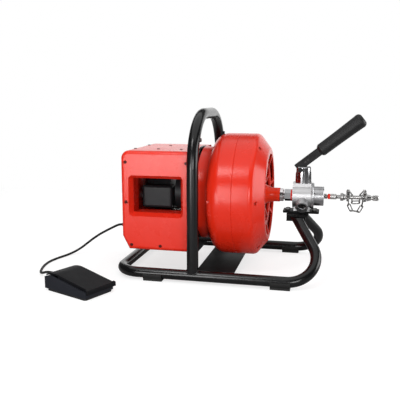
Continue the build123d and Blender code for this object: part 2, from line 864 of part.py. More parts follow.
def make_drum_screws():
    screws = []
    for y, z in screw_spots:
        head = rod_x(drum_head_r, front_pocket_x, front_pocket_x + drum_head, y, z)
        nut = rod_x(drum_head_r, rear_pocket_x - drum_head, rear_pocket_x, y, z)
        screws.append(head + nut + rod_x(drum_screw_r, rear_pocket_x - drum_head, front_pocket_x, y, z))
    front = rear_wall_x + drum_wall + hub_flange
    for k in range(drum_screw_count):
        angle = 2 * math.pi * k / drum_screw_count
        y, z = hub_screw_circle * math.sin(angle), axis_z + hub_screw_circle * math.cos(angle)
        head = rod_x(drum_head_r, front, front + drum_head, y, z)
        screws.append(head + rod_x(drum_screw_r, rear_wall_x, front, y, z))
    return group(screws)


def make_drum_shaft():
    """Shaft with the flange that the drum's rear wall is screwed to."""
    flange_x = rear_wall_x + drum_wall
    shaft = rod_x(shaft_r - run_gap, gear_back_x - 3, flange_x)
    shaft += rod_x(shaft_r + 4, bearing_front_x + 1, flange_x)
    shaft += rod_x(hub_flange_r, flange_x, flange_x + hub_flange)
    for k in range(drum_screw_count):
        angle = 2 * math.pi * k / drum_screw_count
        y, z = hub_screw_circle * math.sin(angle), axis_z + hub_screw_circle * math.cos(angle)
        shaft -= rod_x(drum_screw_r + seat_gap, flange_x - 1, flange_x + hub_flange + 1, y, z)
    return shaft


parts["drum_rear"] = make_drum_rear()
parts["drum_front"] = make_drum_front()
parts["drum_screws"] = make_drum_screws()
parts["drum_shaft"] = make_drum_shaft()


# Nose, spiral and the tube that leads the spiral out of the drum
def make_nose_cone():
    base_x = front_x - dish_depth
    plane = Plane(origin=(0, 0, axis_z), x_dir=(1, 0, 0), z_dir=(0, -1, 0))
    lip_x = base_x + 3
    outline = [
        Line((base_x, nose_bore_r), (base_x, nose_base_r)), Line((base_x, nose_base_r), (lip_x, nose_base_r)),
        TangentArc((nose_straight_x, nose_r), (lip_x, nose_base_r), tangent=(-1, 0)),
        Line((nose_straight_x, nose_r), (nose_end_x, nose_r)), Line((nose_end_x, nose_r), (nose_end_x, nose_bore_r)),
        Line((nose_end_x, nose_bore_r), (base_x, nose_bore_r)),
    ]
    return revolve(plane * make_face(outline), axis=Axis((0, 0, axis_z), (1, 0, 0)))


def make_nose_collar():
    ring_end = nose_end_x + collar_length
    return turned([
        (nose_end_x, nose_bore_r), (nose_end_x, collar_ring_r - 1), (nose_end_x + 1, collar_ring_r),
        (ring_end - 1, collar_ring_r), (ring_end, collar_ring_r - 1), (ring_end, pilot_r),
        (ring_end + pilot_length, pilot_r), (ring_end + pilot_length, nose_bore_r),
    ])


def make_guide_tube():
    """Bent tube from the drum's middle out to the winding."""
    hub_back = front_x - dish_depth - rim_thick
    mouth_r = drum_screw_circle - drum_boss_r - spiral_d - 3 * guide_r
    points = [
        (hub_back + rim_thick - seat_gap, 0, axis_z), (hub_back - guide_straight, 0, axis_z),
        (hub_back - guide_straight, 0, axis_z + mouth_r), (hub_back - guide_straight, guide_mouth, axis_z + mouth_r),
    ]
    bends = [(mouth_r - guide_rise + way * guide_bend_step) / 2 for way in (1, -1)]
    return bent_tube(points, bends, 2 * guide_r, guide_wall)


coil_r = drum_screw_circle - drum_boss_r - clear_gap - spiral_d / 2
parts["nose_cone"] = make_nose_cone()
parts["nose_collar"] = make_nose_collar()
parts["guide_tube"] = make_guide_tube()
parts["spiral_coil"] = winding(
    (coil_start_x, 0, axis_z), (1, 0, 0), (0, 0, 1), coil_r, coil_pitch, coil_loops, spiral_d, spiral_d)


def make_spiral_shaft():
    spiral_r = spiral_d / 2
    core_r = spiral_r - end_wire - clear_gap
    end_start = coupling_x - end_turns * end_pitch - end_wire - 0.5
    shaft = rod_x(spiral_r, front_x - dish_depth, end_start)
    return shaft + rod_x(core_r, end_start, coupling_x)


def make_spiral_end():
    mean_r = spiral_d / 2 - end_wire / 2
    start = coupling_x - end_turns * end_pitch - end_wire / 2 - 0.3
    return winding((start, 0, axis_z), (1, 0, 0), (0, 0, 1), mean_r, end_pitch, end_turns, end_wire, 0.1)


def make_tool_coupling():
    body = turned([
        (coupling_x, 0), (coupling_x, coupling_r - 1), (coupling_x + band_length, coupling_r - 1),
        (coupling_x + band_length, coupling_r), (coupling_x + coupling_length - 2, coupling_r),
        (coupling_x + coupling_length, tool_rod_r), (coupling_x + coupling_length, 0),
    ])
    return body - rod_y(2, -spiral_d, spiral_d, coupling_x + coupling_length - 6, axis_z)


def make_chain_tool():
    """Rod with a ribbed hub, a tapered hub and a knurled end; the chain collars turn between the hubs."""
    rib = hub_length / 4
    end = hub_second_x + hub_second_length
    return turned([
        (coupling_x + coupling_length, 0), (coupling_x + coupling_length, tool_rod_r), (hub_first_x, tool_rod_r),
        (hub_first_x, hub_outer_r - 1), (hub_first_x + 1, hub_outer_r), (hub_first_x + 2 * rib, hub_outer_r),
        (hub_first_x + 3 * rib, hub_neck_r), (hub_first_x + hub_length, hub_neck_r),
        (hub_first_x + hub_length, tool_rod_r), (hub_second_x, tool_rod_r), (hub_second_x, hub_outer_r - 1),
        (end, hub_neck_r - 1), (end, tool_rod_r), (tip_x, tool_rod_r), (tip_x, tip_r - 1), (tip_x + 1, tip_r),
        (tip_x + tip_length - 2, tip_r), (tip_x + tip_length, tip_r - 2), (tip_x + tip_length, 0),
    ])


def chain_link(place, heading, flat):
    """One oval link of square wire, lying along heading, turned by a quarter where flat is false."""
    across = Vector(0, 1, 0) if flat else heading.cross(Vector(0, 1, 0))
    plane = Plane(origin=place, x_dir=heading, z_dir=heading.cross(across))
    oval = SlotOverall(link_length, link_width) - SlotOverall(
        link_length - 2 * link_wire, link_width - 2 * link_wire)
    return extrude(plane * oval, amount=link_wire / 2, both=True)


def make_chains():
    """Two collars that turn on the rod and the chains that hang between them, link by link on a parabola."""
    links = []
    for x in chain_collar_x:
        collar = rod_x(chain_collar_r, x, x + chain_collar_length)
        collar = chamfer(collar.edges(), 1)
        links.append(collar - rod_x(tool_rod_r + run_gap, x, x + chain_collar_length))
    middle = (chain_collar_x[0] + chain_collar_x[1] + chain_collar_length) / 2
    for low, top, y, half in zip(chain_low_z, chain_top_z, chain_y, chain_half):
        steps = 2000
        spread = [-1 + 2 * k / steps for k in range(steps + 1)]
        dots = [Vector(middle + half * t, y, low + (top - low) * t * t) for t in spread]
        lengths = [0.0]
        for a, b in zip(dots, dots[1:]):
            lengths.append(lengths[-1] + (b - a).length)
        steps_along = math.ceil(lengths[-1] / link_pitch)
        for k in range(steps_along + 1):
            want = lengths[-1] * k / steps_along
            near = min(range(steps), key=lambda i: abs(lengths[i] - want))
            heading = (dots[near + 1] - dots[near]).normalized()
            links.append(chain_link(dots[near], heading, k % 2 == 0))
    return group(links)


parts["spiral_shaft"] = make_spiral_shaft()
parts["spiral_end"] = make_spiral_end()
parts["tool_coupling"] = make_tool_coupling()
parts["coupling_ring"] = (
    rod_x(coupling_r, coupling_x, coupling_x + band_length)
    - rod_x(coupling_r - 1, coupling_x, coupling_x + band_length))
parts["chain_tool"] = make_chain_tool()
parts["chains"] = make_chains()


# Feed unit: bright body with three rollers round the spiral, on a bracket between the front legs
feed_end_x = feed_x + feed_length
foot_top_z = feed_plate_z + feed_plate_thick
boss_ways = [Vector(0, side * math.sin(math.radians(boss_angle)), math.cos(math.radians(boss_angle)))
             for side in (-1, 1)]
feed_centre = Vector(roller_x, 0, axis_z)
contact = spiral_d / 2 + clear_gap + roller_r


def radial_rod(radius, way, near, far):
    plane = Plane(origin=feed_centre + way * near, x_dir=(1, 0, 0), z_dir=way)
    return extrude(plane * Circle(radius), amount=far - near)


def make_feed_body():
    body = rod_x(feed_r, feed_x, feed_end_x)
    body += block(feed_x, feed_end_x, -feed_pad_half, feed_pad_half, axis_z, feed_pad_z)
    body += block(feed_x + 3, feed_end_x - 3, -feed_foot_half, feed_foot_half, foot_top_z, axis_z)
    for way in boss_ways:
        body += radial_rod(boss_r, way, 0, boss_reach)
    body -= rod_x(feed_bore_r, feed_x, feed_end_x)
    for way in boss_ways + [Vector(0, 0, 1)]:
        body -= radial_rod(carrier_r + clear_gap, way, 0, feed_r + boss_reach)
    for way in boss_ways:
        body -= radial_rod(boss_recess_r, way, boss_reach - boss_recess, boss_reach + 1)
    return body


def make_inlet():
    plane = Plane(origin=(inlet_x, 0, axis_z), x_dir=(0, 0, 1), z_dir=(1, 0, 0))
    nut = extrude(plane * RegularPolygon(inlet_hex_r, 6), amount=inlet_ring_x - inlet_x)
    nut += rod_x(inlet_ring_r - 3, inlet_ring_x, feed_x)
    pilot_end = nose_end_x + collar_length + pilot_length
    nut -= rod_x(pilot_r + clear_gap, inlet_x, pilot_end + 1)
    return nut - rod_x(nose_bore_r, inlet_x, feed_x)


def make_nozzle():
    mouth = feed_end_x + nozzle_flange + nozzle_length
    barrel = feed_end_x + nozzle_flange
    return turned([
        (feed_end_x, feed_bore_r), (feed_end_x, nozzle_flange_r - flange_chamfer),
        (feed_end_x + flange_chamfer, nozzle_flange_r), (barrel - flange_chamfer, nozzle_flange_r),
        (barrel, nozzle_flange_r - flange_chamfer), (barrel, nozzle_r),
        (mouth - 1, nozzle_r), (mouth, nozzle_r - 1), (mouth, feed_bore_r + 5), (mouth - 5, feed_bore_r),
    ])


def make_post():
    """Cap over the plunger, with the slot and the cross hole for the lever."""
    post = rod_z(post_r, feed_pad_z, post_step_z, roller_x, 0)
    post += rod_z(post_neck_r, post_step_z, post_top_z, roller_x, 0)
    post = chamfer(post.faces().sort_by(Axis.Z)[-1].edges(), 2)
    floor_z = feed_pad_z + post_floor
    post -= rod_z(stem_r + clear_gap, feed_pad_z, floor_z, roller_x, 0)
    post -= rod_z(carrier_r + clear_gap, floor_z, head_top_z + 1, roller_x, 0)
    post -= block(roller_x - 2 * post_r, roller_x + 2 * post_r, -slot_half, slot_half, head_top_z, post_top_z + 1)
    post -= rod_y(pivot_r + run_gap, -2 * post_r, 2 * post_r, pivot_x, pivot_z)
    seat_y = -math.sqrt(post_neck_r ** 2 - (pivot_x - roller_x) ** 2) + 3
    return post - rod_y(pivot_head_r + clear_gap, -2 * post_r, seat_y, pivot_x, pivot_z)


def make_pivot():
    seat_y = -math.sqrt(post_neck_r ** 2 - (pivot_x - roller_x) ** 2) + 3
    pin = rod_y(pivot_r, seat_y, -seat_y - 3, pivot_x, pivot_z)
    return pin + rod_y(pivot_head_r, seat_y - 4, seat_y, pivot_x, pivot_z)


cam_middle = (pivot_x + cam_offset * math.cos(math.radians(cam_angle)),
              pivot_z + cam_offset * math.sin(math.radians(cam_angle)))
head_top_z = cam_middle[1] - cam_r - clear_gap
plunger_lift = cam_offset * (math.sin(math.radians(cam_angle)) - math.sin(math.radians(cam_angle - lever_press)))


def roller_frame(way, distance):
    """Plane across a roller: its normal is the roller's skewed axle."""
    skew = math.radians(roller_skew)
    side = way.cross(Vector(1, 0, 0))
    axle = side * math.cos(skew) + Vector(1, 0, 0) * math.sin(skew)
    return Plane(origin=feed_centre + way * distance, x_dir=way, z_dir=axle)


def make_roller(way, distance):
    frame = roller_frame(way, distance)
    roller = extrude(frame * Circle(roller_r), amount=roller_width / 2, both=True)
    roller = chamfer(roller.edges(), 0.8)
    return roller - extrude(frame * Circle(roller_pin_r + run_gap), amount=roller_width, both=True)


def with_fork(carrier, way, distance):
    """Cuts the roller's slot into a carrier and sets the axle pin across it."""
    frame = roller_frame(way, distance)
    slot = extrude(frame * Circle(roller_r + 1.5), amount=roller_width / 2 + clear_gap, both=True)
    inward = frame * Pos(-roller_r, 0) * Rectangle(2 * roller_r, 2 * roller_r + 3)
    slot += extrude(inward, amount=roller_width / 2 + clear_gap, both=True)
    pin = extrude(frame * Circle(roller_pin_r), amount=carrier_r * 0.8, both=True)
    return carrier - slot + pin


def make_carriers():
    carriers = []
    for way in boss_ways:
        carrier = radial_rod(carrier_r, way, spiral_d / 2 + 3, carrier_end)
        carrier = with_fork(carrier, way, contact)
        carriers.append(carrier + radial_rod(4, way, carrier_end, boss_reach - 3))
    return group(carriers)


def make_plunger():
    up = Vector(0, 0, 1)
    low = spiral_d / 2 + 3 + plunger_lift
    shoulder = feed_pad_z - axis_z - 1.5
    plunger = with_fork(radial_rod(carrier_r, up, low, shoulder), up, contact + plunger_lift)
    plunger += radial_rod(stem_r, up, shoulder - 1, head_top_z - axis_z)
    return plunger + radial_rod(carrier_r, up, head_top_z - plunger_head - axis_z, head_top_z - axis_z)


def make_plunger_spring():
    low = feed_pad_z + post_floor
    high = head_top_z - plunger_head
    mean_r = (stem_r + carrier_r + clear_gap) / 2
    pitch = (high - low - spring_wire - 2 * seat_gap) / spring_turns
    start = (roller_x, 0, low + spring_wire / 2 + seat_gap)
    return winding(start, (0, 0, 1), (1, 0, 0), mean_r, pitch, spring_turns, spring_wire, 0.1)


parts["feed_body"] = make_feed_body()
parts["feed_inlet"] = make_inlet()
parts["inlet_ring"] = rod_x(inlet_ring_r, inlet_ring_x, feed_x) - rod_x(
    inlet_ring_r - 3 + seat_gap, inlet_ring_x, feed_x)
parts["outlet_nozzle"] = make_nozzle()
parts["plunger_post"] = make_post()
parts["lever_pivot"] = make_pivot()
parts["roller_carriers"] = make_carriers()
parts["near_roller"] = make_roller(boss_ways[0], contact)
parts["far_roller"] = make_roller(boss_ways[1], contact)
parts["top_roller"] = make_roller(Vector(0, 0, 1), contact + plunger_lift)
parts["plunger"] = make_plunger()
parts["plunger_spring"] = make_plunger_spring()


# Feed lever: flat bar with a cam, and its grip
def lever_plane(along, rise):
    """Point on the lever, measured along and square to the bar from the pivot."""
    angle = math.radians(lever_angle)
    return (pivot_x + along * math.cos(angle) - rise * math.sin(angle),
            pivot_z + along * math.sin(angle) + rise * math.cos(angle))


def make_lever_bar():
    low, high = bar_rise - bar_width / 2, bar_rise + bar_width / 2
    outline = [lever_plane(-bar_tail, low), lever_plane(grip_start, low), lever_plane(grip_start, high),
               lever_plane(-bar_tail, high)]
    bar = side_profile(outline, -bar_thick / 2, bar_thick / 2)
    tang_end = grip_start + tang_length
    tang = [lever_plane(a, bar_rise + s * tang_width / 2) for a, s in
            ((grip_start - 1, -1), (tang_end, -1), (tang_end, 1), (grip_start - 1, 1))]
    bar += side_profile(tang, -tang_thick / 2, tang_thick / 2)
    bar += rod_y(eye_r, -bar_thick / 2, bar_thick / 2, pivot_x, pivot_z)
    bar += rod_y(cam_r, -bar_thick / 2, bar_thick / 2, cam_middle[0], cam_middle[1])
    return bar - rod_y(pivot_r + run_gap, -bar_thick, bar_thick, pivot_x, pivot_z)


def make_lever_grip():
    start = lever_plane(grip_start + seat_gap, bar_rise)
    angle = math.radians(lever_angle)
    along = Vector(math.cos(angle), 0, math.sin(angle))
    across = Vector(-math.sin(angle), 0, math.cos(angle))
    plane = Plane(origin=(start[0], 0, start[1]), x_dir=along, z_dir=along.cross(across))
    outline = [
        Line((0, 0), (0, grip_near_r * 0.78)),
        Line((0, grip_near_r * 0.78), (grip_collar, grip_near_r)),
        ThreePointArc((grip_collar, grip_near_r), (grip_length * 0.5, (grip_near_r + grip_far_r) / 2 - 0.4),
                      (grip_length * 0.9, grip_far_r)),
        ThreePointArc((grip_length * 0.9, grip_far_r), (grip_length * 0.97, grip_far_r * 0.9),
                      (grip_length, grip_far_r * 0.6)),
        Line((grip_length, grip_far_r * 0.6), (grip_length, 0)), Line((grip_length, 0), (0, 0)),
    ]
    grip = revolve(plane * make_face(outline), axis=Axis(plane.origin, along))
    room = [lever_plane(a, bar_rise + s * (tang_width / 2 + seat_gap)) for a, s in
            ((grip_start - 1, -1), (grip_start + tang_length + seat_gap, -1),
             (grip_start + tang_length + seat_gap, 1), (grip_start - 1, 1))]
    return grip - side_profile(room, -tang_thick / 2 - seat_gap, tang_thick / 2 + seat_gap)


def make_lever_screws():
    heads = []
    for along in lever_screw_along:
        x, z = lever_plane(along, bar_rise)
        for side in (-1, 1):
            heads.append(rod_y(lever_screw_r, side * bar_thick / 2, side * (bar_thick / 2 + screw_head), x, z))
    return group(heads)


parts["lever_bar"] = make_lever_bar()
parts["lever_grip"] = make_lever_grip()
parts["lever_screws"] = make_lever_screws()


# Bracket and plate under the feed unit, and the bolts of the frame
def make_front_bracket():
    """Plate over the leg ends, with a channel below it that is coped round the legs."""
    bracket = block(bracket_x, bracket_x + bracket_length, -bracket_half, bracket_half,
                    feed_plate_z - bracket_thick, feed_plate_z)
    channel = block(channel_x, channel_x + channel_length, -channel_half, channel_half,
                    feed_plate_z - channel_drop, feed_plate_z)
    channel -= block(channel_x + bracket_thick, channel_x + channel_length - bracket_thick,
                     -channel_half + bracket_thick, channel_half - bracket_thick,
                     feed_plate_z - 2 * channel_drop, feed_plate_z - bracket_thick)
    legs = frame_sweep(Circle(tube_d / 2 + weld_gap))
    legs -= block(0, 2 * leg_bend_x, -rail_half, rail_half, feed_plate_z - bracket_thick, feed_plate_z + 3 * tube_d)
    return bracket + (channel - legs)


def feed_bolt_places():
    inset = 2 * bolt_head_r
    return [(x, y) for x in (feed_plate_x + inset, feed_plate_x + feed_plate_length - inset)
            for y in (-feed_plate_half + inset, feed_plate_half - inset)]


def make_feed_plate():
    plate = block(feed_plate_x, feed_plate_x + feed_plate_length, -feed_plate_half, feed_plate_half,
                  feed_plate_z, foot_top_z)
    return fillet(plate.edges().filter_by(Axis.Z), 4)


def make_frame_bolts():
    bolts = []
    for y, z in spacer_places:
        head = rod_x(bolt_head_r, plate_front_x, plate_front_x + bolt_head, y, z)
        bolts.append(head + rod_x(bolt_r, plate_back_x - 15, plate_front_x, y, z))
    for x, y in feed_bolt_places():
        bolts.append(rod_z(bolt_head_r, foot_top_z, foot_top_z + bolt_head, x, y))
    bend_z = hoop_height - hoop_d / 2 - hoop_bend
    lean = math.sqrt(hoop_bend ** 2 - (hoop_screw_z - bend_z) ** 2)
    for side in (-1, 1):
        y = side * (rail_half - hoop_bend + lean)
        head = rod_x(hoop_screw_r, hoop_d / 2 - 2, hoop_d / 2 + hoop_screw_head, y, hoop_screw_z)
        bolts.append(head - parts["carry_hoop"])
    return group(bolts)


parts["front_bracket"] = make_front_bracket()
parts["feed_plate"] = make_feed_plate()
parts["frame_bolts"] = make_frame_bolts()


# Foot switch: base pad, cast body, treadle on a pin, spring, microswitch and cord gland
pedal_place = Pos(pedal_x, pedal_y, 0) * Rot(0, 0, pedal_turn)


def treadle_top(along):
    slope = (treadle_low - treadle_tall) / (treadle_end - treadle_tall_along)
    return treadle_tall + slope * (along - treadle_tall_along)


def wall_top(along):
    slope = (pedal_low - pedal_tall) / (pedal_length - pedal_tall_along)
    return pedal_tall + slope * (along - pedal_tall_along)


def make_pedal_base():
    pad = block(0, pedal_length, 0, pedal_width - pedal_flare, 0, pedal_pad)
    return fillet(pad.edges().filter_by(Axis.Z), 6)


def make_pedal_body():
    """Open tray with sloping side walls; the tall end overhangs the pad."""
    outer = [(-pedal_overhang, pedal_pad), (pedal_length, pedal_pad), (pedal_length, pedal_low),
             (pedal_tall_along, pedal_tall), (-pedal_overhang, pedal_back)]
    body = side_profile(outer, 0, pedal_width)
    body = fillet(body.edges().filter_by(Axis.Z), 3)
    room_low = pedal_pad + pedal_floor
    room_start = -pedal_overhang + pedal_wall
    body -= block(room_start, pedal_length - pedal_wall, pedal_wall, pedal_width - pedal_wall,
                  room_low, 2 * pedal_tall)
    body -= block(-2 * pedal_overhang, 0, pedal_wall, pedal_width - pedal_wall, pedal_back_z, 2 * pedal_tall)
    body -= block(pedal_length - 2 * pedal_wall, 2 * pedal_length, pedal_wall, pedal_width - pedal_wall,
                  pedal_sill_z, 2 * pedal_tall)
    body -= rod_y(hinge_r + run_gap, -1, pedal_width + 1, hinge_along, hinge_z)
    gland = rod_x(pedal_gland_r + seat_gap, -2 * pedal_overhang, 0, pedal_gland_across, pedal_gland_z)
    return body - gland


def make_treadle():
    """Plate with a round crown at the back, side skirts, a wide front lip and two hinge lugs."""
    y0, y1 = pedal_wall + treadle_side_gap, pedal_width - pedal_wall - treadle_side_gap
    plane = Plane(origin=(0, y0, 0), x_dir=(1, 0, 0), z_dir=(0, -1, 0))
    crest = (treadle_tall_along, treadle_tall)
    under = (crest[0], crest[1] - treadle_thick)
    rise = (treadle_tall_along - treadle_end, treadle_tall - treadle_low)
    back = (treadle_start, treadle_back)
    back_under = (back[0], back[1] - treadle_thick)
    nose = (treadle_end, treadle_low)
    nose_under = (treadle_end, treadle_low - treadle_thick)
    section = make_face([
        Line(nose_under, nose), Line(nose, crest), TangentArc(crest, back, tangent=rise), Line(back, back_under),
        TangentArc(under, back_under, tangent=rise), Line(under, nose_under),
    ])
    plate = extrude(plane * section, amount=y0 - y1)
    cap_start = pedal_length + treadle_side_gap
    lip_back = treadle_end - treadle_thick
    plate += side_profile([
        (cap_start, treadle_top(cap_start) - treadle_thick), (cap_start, treadle_top(cap_start)), nose,
        (treadle_end, treadle_lip_z), (lip_back, treadle_lip_z), (lip_back, treadle_top(lip_back) - treadle_thick),
    ], 0, pedal_width)
    front = plate.edges().filter_by(Axis.Y).sort_by(lambda e: -e.center().X - e.center().Z)[0]
    plate = fillet([front], 3)
    skirt_end = pedal_length - pedal_wall
    for y in (y0, y1 - treadle_skirt):
        plate += side_profile([
            (treadle_tall_along, wall_top(treadle_tall_along) - 1), (skirt_end, wall_top(skirt_end) - 1),
            (skirt_end, treadle_top(skirt_end) - 1), (treadle_tall_along, treadle_tall - 1),
        ], y, y + treadle_skirt)
    lug_top = treadle_tall - treadle_thick
    for y in (y0 + 3, y1 - 9):
        lug = block(hinge_along - 6, hinge_along + 6, y, y + 6, hinge_z, lug_top)
        plate += lug + rod_y(6, y, y + 6, hinge_along, hinge_z)
    return plate - rod_y(hinge_r + run_gap, 0, pedal_width, hinge_along, hinge_z)


def make_pedal_spring():
    low = pedal_pad + pedal_floor
    high = treadle_top(pedal_spring_along - pedal_spring_r) - treadle_thick
    drop = (treadle_tall - treadle_low) / (treadle_end - treadle_tall_along) * 2 * pedal_spring_r
    height = high - drop - low - pedal_spring_wire - 4 * seat_gap
    start = (pedal_spring_along, pedal_width / 2, low + pedal_spring_wire / 2 + seat_gap)
    mean_r = pedal_spring_r - pedal_spring_wire / 2
    pitch = height / pedal_spring_turns
    return winding(start, (0, 0, 1), (1, 0, 0), mean_r, pitch, pedal_spring_turns, pedal_spring_wire, 0.1)


def make_microswitch():
    """Switch block with a button that the treadle just reaches at the end of its travel."""
    low = pedal_pad + pedal_floor
    drop = (switch_along - hinge_along) * math.tan(math.radians(treadle_press))
    button_top = treadle_top(switch_along) - treadle_thick - drop - 2 * clear_gap
    x0, x1 = switch_along - switch_length / 2, switch_along + switch_length / 2
    y0, y1 = switch_across - switch_width / 2, switch_across + switch_width / 2
    switch = block(x0, x1, y0, y1, low, low + switch_height)
    return switch + rod_z(switch_width / 5, low + switch_height, button_top, switch_along, switch_across)


def make_pedal_gland():
    wall = -pedal_overhang
    return turned([
        (wall + 2 * pedal_wall, 0), (wall + 2 * pedal_wall, pedal_gland_r), (wall - 3, pedal_gland_r),
        (wall - gland_length, cord_d * 0.8), (wall - gland_length, 0),
    ], pedal_gland_across, pedal_gland_z)


parts["pedal_base"] = pedal_place * make_pedal_base()
parts["pedal_body"] = pedal_place * make_pedal_body()
parts["treadle"] = pedal_place * make_treadle()
parts["pedal_hinge_pin"] = pedal_place * rod_y(hinge_r, 0.5, pedal_width - 0.5, hinge_along, hinge_z)
parts["pedal_spring"] = pedal_place * make_pedal_spring()
parts["pedal_microswitch"] = pedal_place * make_microswitch()
parts["pedal_gland"] = pedal_place * make_pedal_gland()


# Foot switch cord: a tube on straight runs and tangent arcs, from gland to gland
def make_cord():
    start = Vector(housing_back_x - gland_flange - gland_length, gland_y, gland_z)
    tail = -pedal_overhang - gland_length
    ends = [(pedal_place * Pos(tail - out, pedal_gland_across, pedal_gland_z)).position for out in (10, 0)]
    points = [start] + [Vector(*p) for p in cord_points] + ends
    radii = []
    for before, here, after in zip(points, points[1:], points[2:]):
        run = min((here - before).length, (after - here).length)
        turn = (here - before).get_angle(after - here)
        radii.append(0.45 * run / math.tan(math.radians(turn / 2)))
    print("cord radii", [round(r) for r in radii])
    path = FilletPolyline(*points, radius=radii)
    cord = sweep(Plane(origin=path @ 0, z_dir=path % 0) * Circle(cord_d / 2), path=path)
    print("cord length", round(path.length, 1), "volume share",
          round(cord.volume / (path.length * math.pi * cord_d ** 2 / 4), 4))
    return cord


parts["foot_switch_cord"] = make_cord()

os.makedirs("parts", exist_ok=True)
for name, shape in parts.items():
    export_step(shape, "parts/" + name + ".step")
print(len(parts), "nodes")
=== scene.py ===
import bmesh
import bpy
import math
from mathutils import Matrix, Vector


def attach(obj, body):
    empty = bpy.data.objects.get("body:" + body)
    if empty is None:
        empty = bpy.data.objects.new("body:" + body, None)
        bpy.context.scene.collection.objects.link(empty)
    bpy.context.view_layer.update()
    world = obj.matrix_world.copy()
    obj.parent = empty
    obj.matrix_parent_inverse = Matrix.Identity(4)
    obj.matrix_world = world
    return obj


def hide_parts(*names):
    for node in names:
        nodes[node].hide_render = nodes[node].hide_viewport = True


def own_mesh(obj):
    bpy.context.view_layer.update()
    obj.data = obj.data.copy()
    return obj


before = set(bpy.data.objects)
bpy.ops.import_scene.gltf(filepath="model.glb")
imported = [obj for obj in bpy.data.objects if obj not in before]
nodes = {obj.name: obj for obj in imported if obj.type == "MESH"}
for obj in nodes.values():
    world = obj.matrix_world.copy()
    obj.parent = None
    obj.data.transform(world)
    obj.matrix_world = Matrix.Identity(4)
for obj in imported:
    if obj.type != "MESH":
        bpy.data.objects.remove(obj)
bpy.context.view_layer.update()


# Base frame, hoop and plates: bent steel tube and flat plate, welded together. The tubes and the
# bearing plate are powder coated black, with an orange-peel grain and a soft gloss that is duller
# where hands and floors rub it. The smaller plates are matt primed.
def marks_group():
    """Broad rubbed patches and a fine grain, both by the piece's own coordinates."""
    group = bpy.data.node_groups.new("surface_marks", "ShaderNodeTree")
    for label in ("Patch Size", "Grain Size"):
        group.interface.new_socket(label, in_out="INPUT", socket_type="NodeSocketFloat")
    for label in ("Patches", "Grain"):
        group.interface.new_socket(label, in_out="OUTPUT", socket_type="NodeSocketFloat")
    into, out = group.nodes.new("NodeGroupInput"), group.nodes.new("NodeGroupOutput")
    place = group.nodes.new("ShaderNodeTexCoord")
    patch, grain = group.nodes.new("ShaderNodeTexNoise"), group.nodes.new("ShaderNodeTexNoise")
    ramp = group.nodes.new("ShaderNodeValToRGB")
    patch.inputs["Detail"].default_value = 7
    patch.inputs["Roughness"].default_value = 0.65
    grain.inputs["Detail"].default_value = 2
    ramp.color_ramp.elements[0].position = 0.42
    ramp.color_ramp.elements[1].position = 0.78
    link = group.links.new
    link(place.outputs["Object"], patch.inputs["Vector"])
    link(place.outputs["Object"], grain.inputs["Vector"])
    link(into.outputs["Patch Size"], patch.inputs["Scale"])
    link(into.outputs["Grain Size"], grain.inputs["Scale"])
    link(patch.outputs["Fac"], ramp.inputs["Fac"])
    link(ramp.outputs["Color"], out.inputs["Patches"])
    link(grain.outputs["Fac"], out.inputs["Grain"])
    return group


surface_marks = marks_group()


def finish_material(name, colour, rubbed, rough, patch_size, grain_size, grain_depth,
                    metal=0.0, shine=0.5):
    """A surface whose colour and gloss change a little in rubbed patches, over a fine grain."""
    material = bpy.data.materials.new(name)
    material.use_nodes = True
    tree = material.node_tree
    shader = tree.nodes["Principled BSDF"]
    marks = tree.nodes.new("ShaderNodeGroup")
    marks.name = "marks"
    marks.node_tree = surface_marks
    marks.inputs["Patch Size"].default_value = patch_size
    marks.inputs["Grain Size"].default_value = grain_size
    tint = tree.nodes.new("ShaderNodeMix")
    tint.data_type = "RGBA"
    tint.inputs["A"].default_value = (*colour, 1)
    tint.inputs["B"].default_value = (*rubbed, 1)
    gloss = tree.nodes.new("ShaderNodeMapRange")
    gloss.inputs["To Min"].default_value = rough[0]
    gloss.inputs["To Max"].default_value = rough[1]
    bump = tree.nodes.new("ShaderNodeBump")
    bump.name = "relief"
    bump.inputs["Strength"].default_value = 1.0
    bump.inputs["Distance"].default_value = grain_depth
    link = tree.links.new
    link(marks.outputs["Patches"], tint.inputs["Factor"])
    link(marks.outputs["Patches"], gloss.inputs["Value"])
    link(marks.outputs["Grain"], bump.inputs["Height"])
    link(tint.outputs["Result"], shader.inputs["Base Color"])
    link(gloss.outputs["Result"], shader.inputs["Roughness"])
    link(bump.outputs["Normal"], shader.inputs["Normal"])
    shader.inputs["Metallic"].default_value = metal
    shader.inputs["Specular IOR Level"].default_value = shine
    return material


def dress(material, *names):
    for name in names:
        nodes[name].data.materials.clear()
        nodes[name].data.materials.append(material)


powder_coat = finish_material(
    "black_powder_coat", (0.003, 0.003, 0.0033), (0.006, 0.006, 0.0063), rough=(0.2, 0.27),
    patch_size=14, grain_size=1400, grain_depth=0.00002, shine=0.34)
dress(powder_coat, "base_frame", "carry_hoop", "bearing_plate")
plate_primer = finish_material(
    "black_primer", (0.003, 0.003, 0.0032), (0.005, 0.005, 0.0052), rough=(0.5, 0.6),
    patch_size=14, grain_size=1400, grain_depth=0.00003, shine=0.08)
dress(plate_primer, "cross_plate", "front_bracket", "feed_plate")


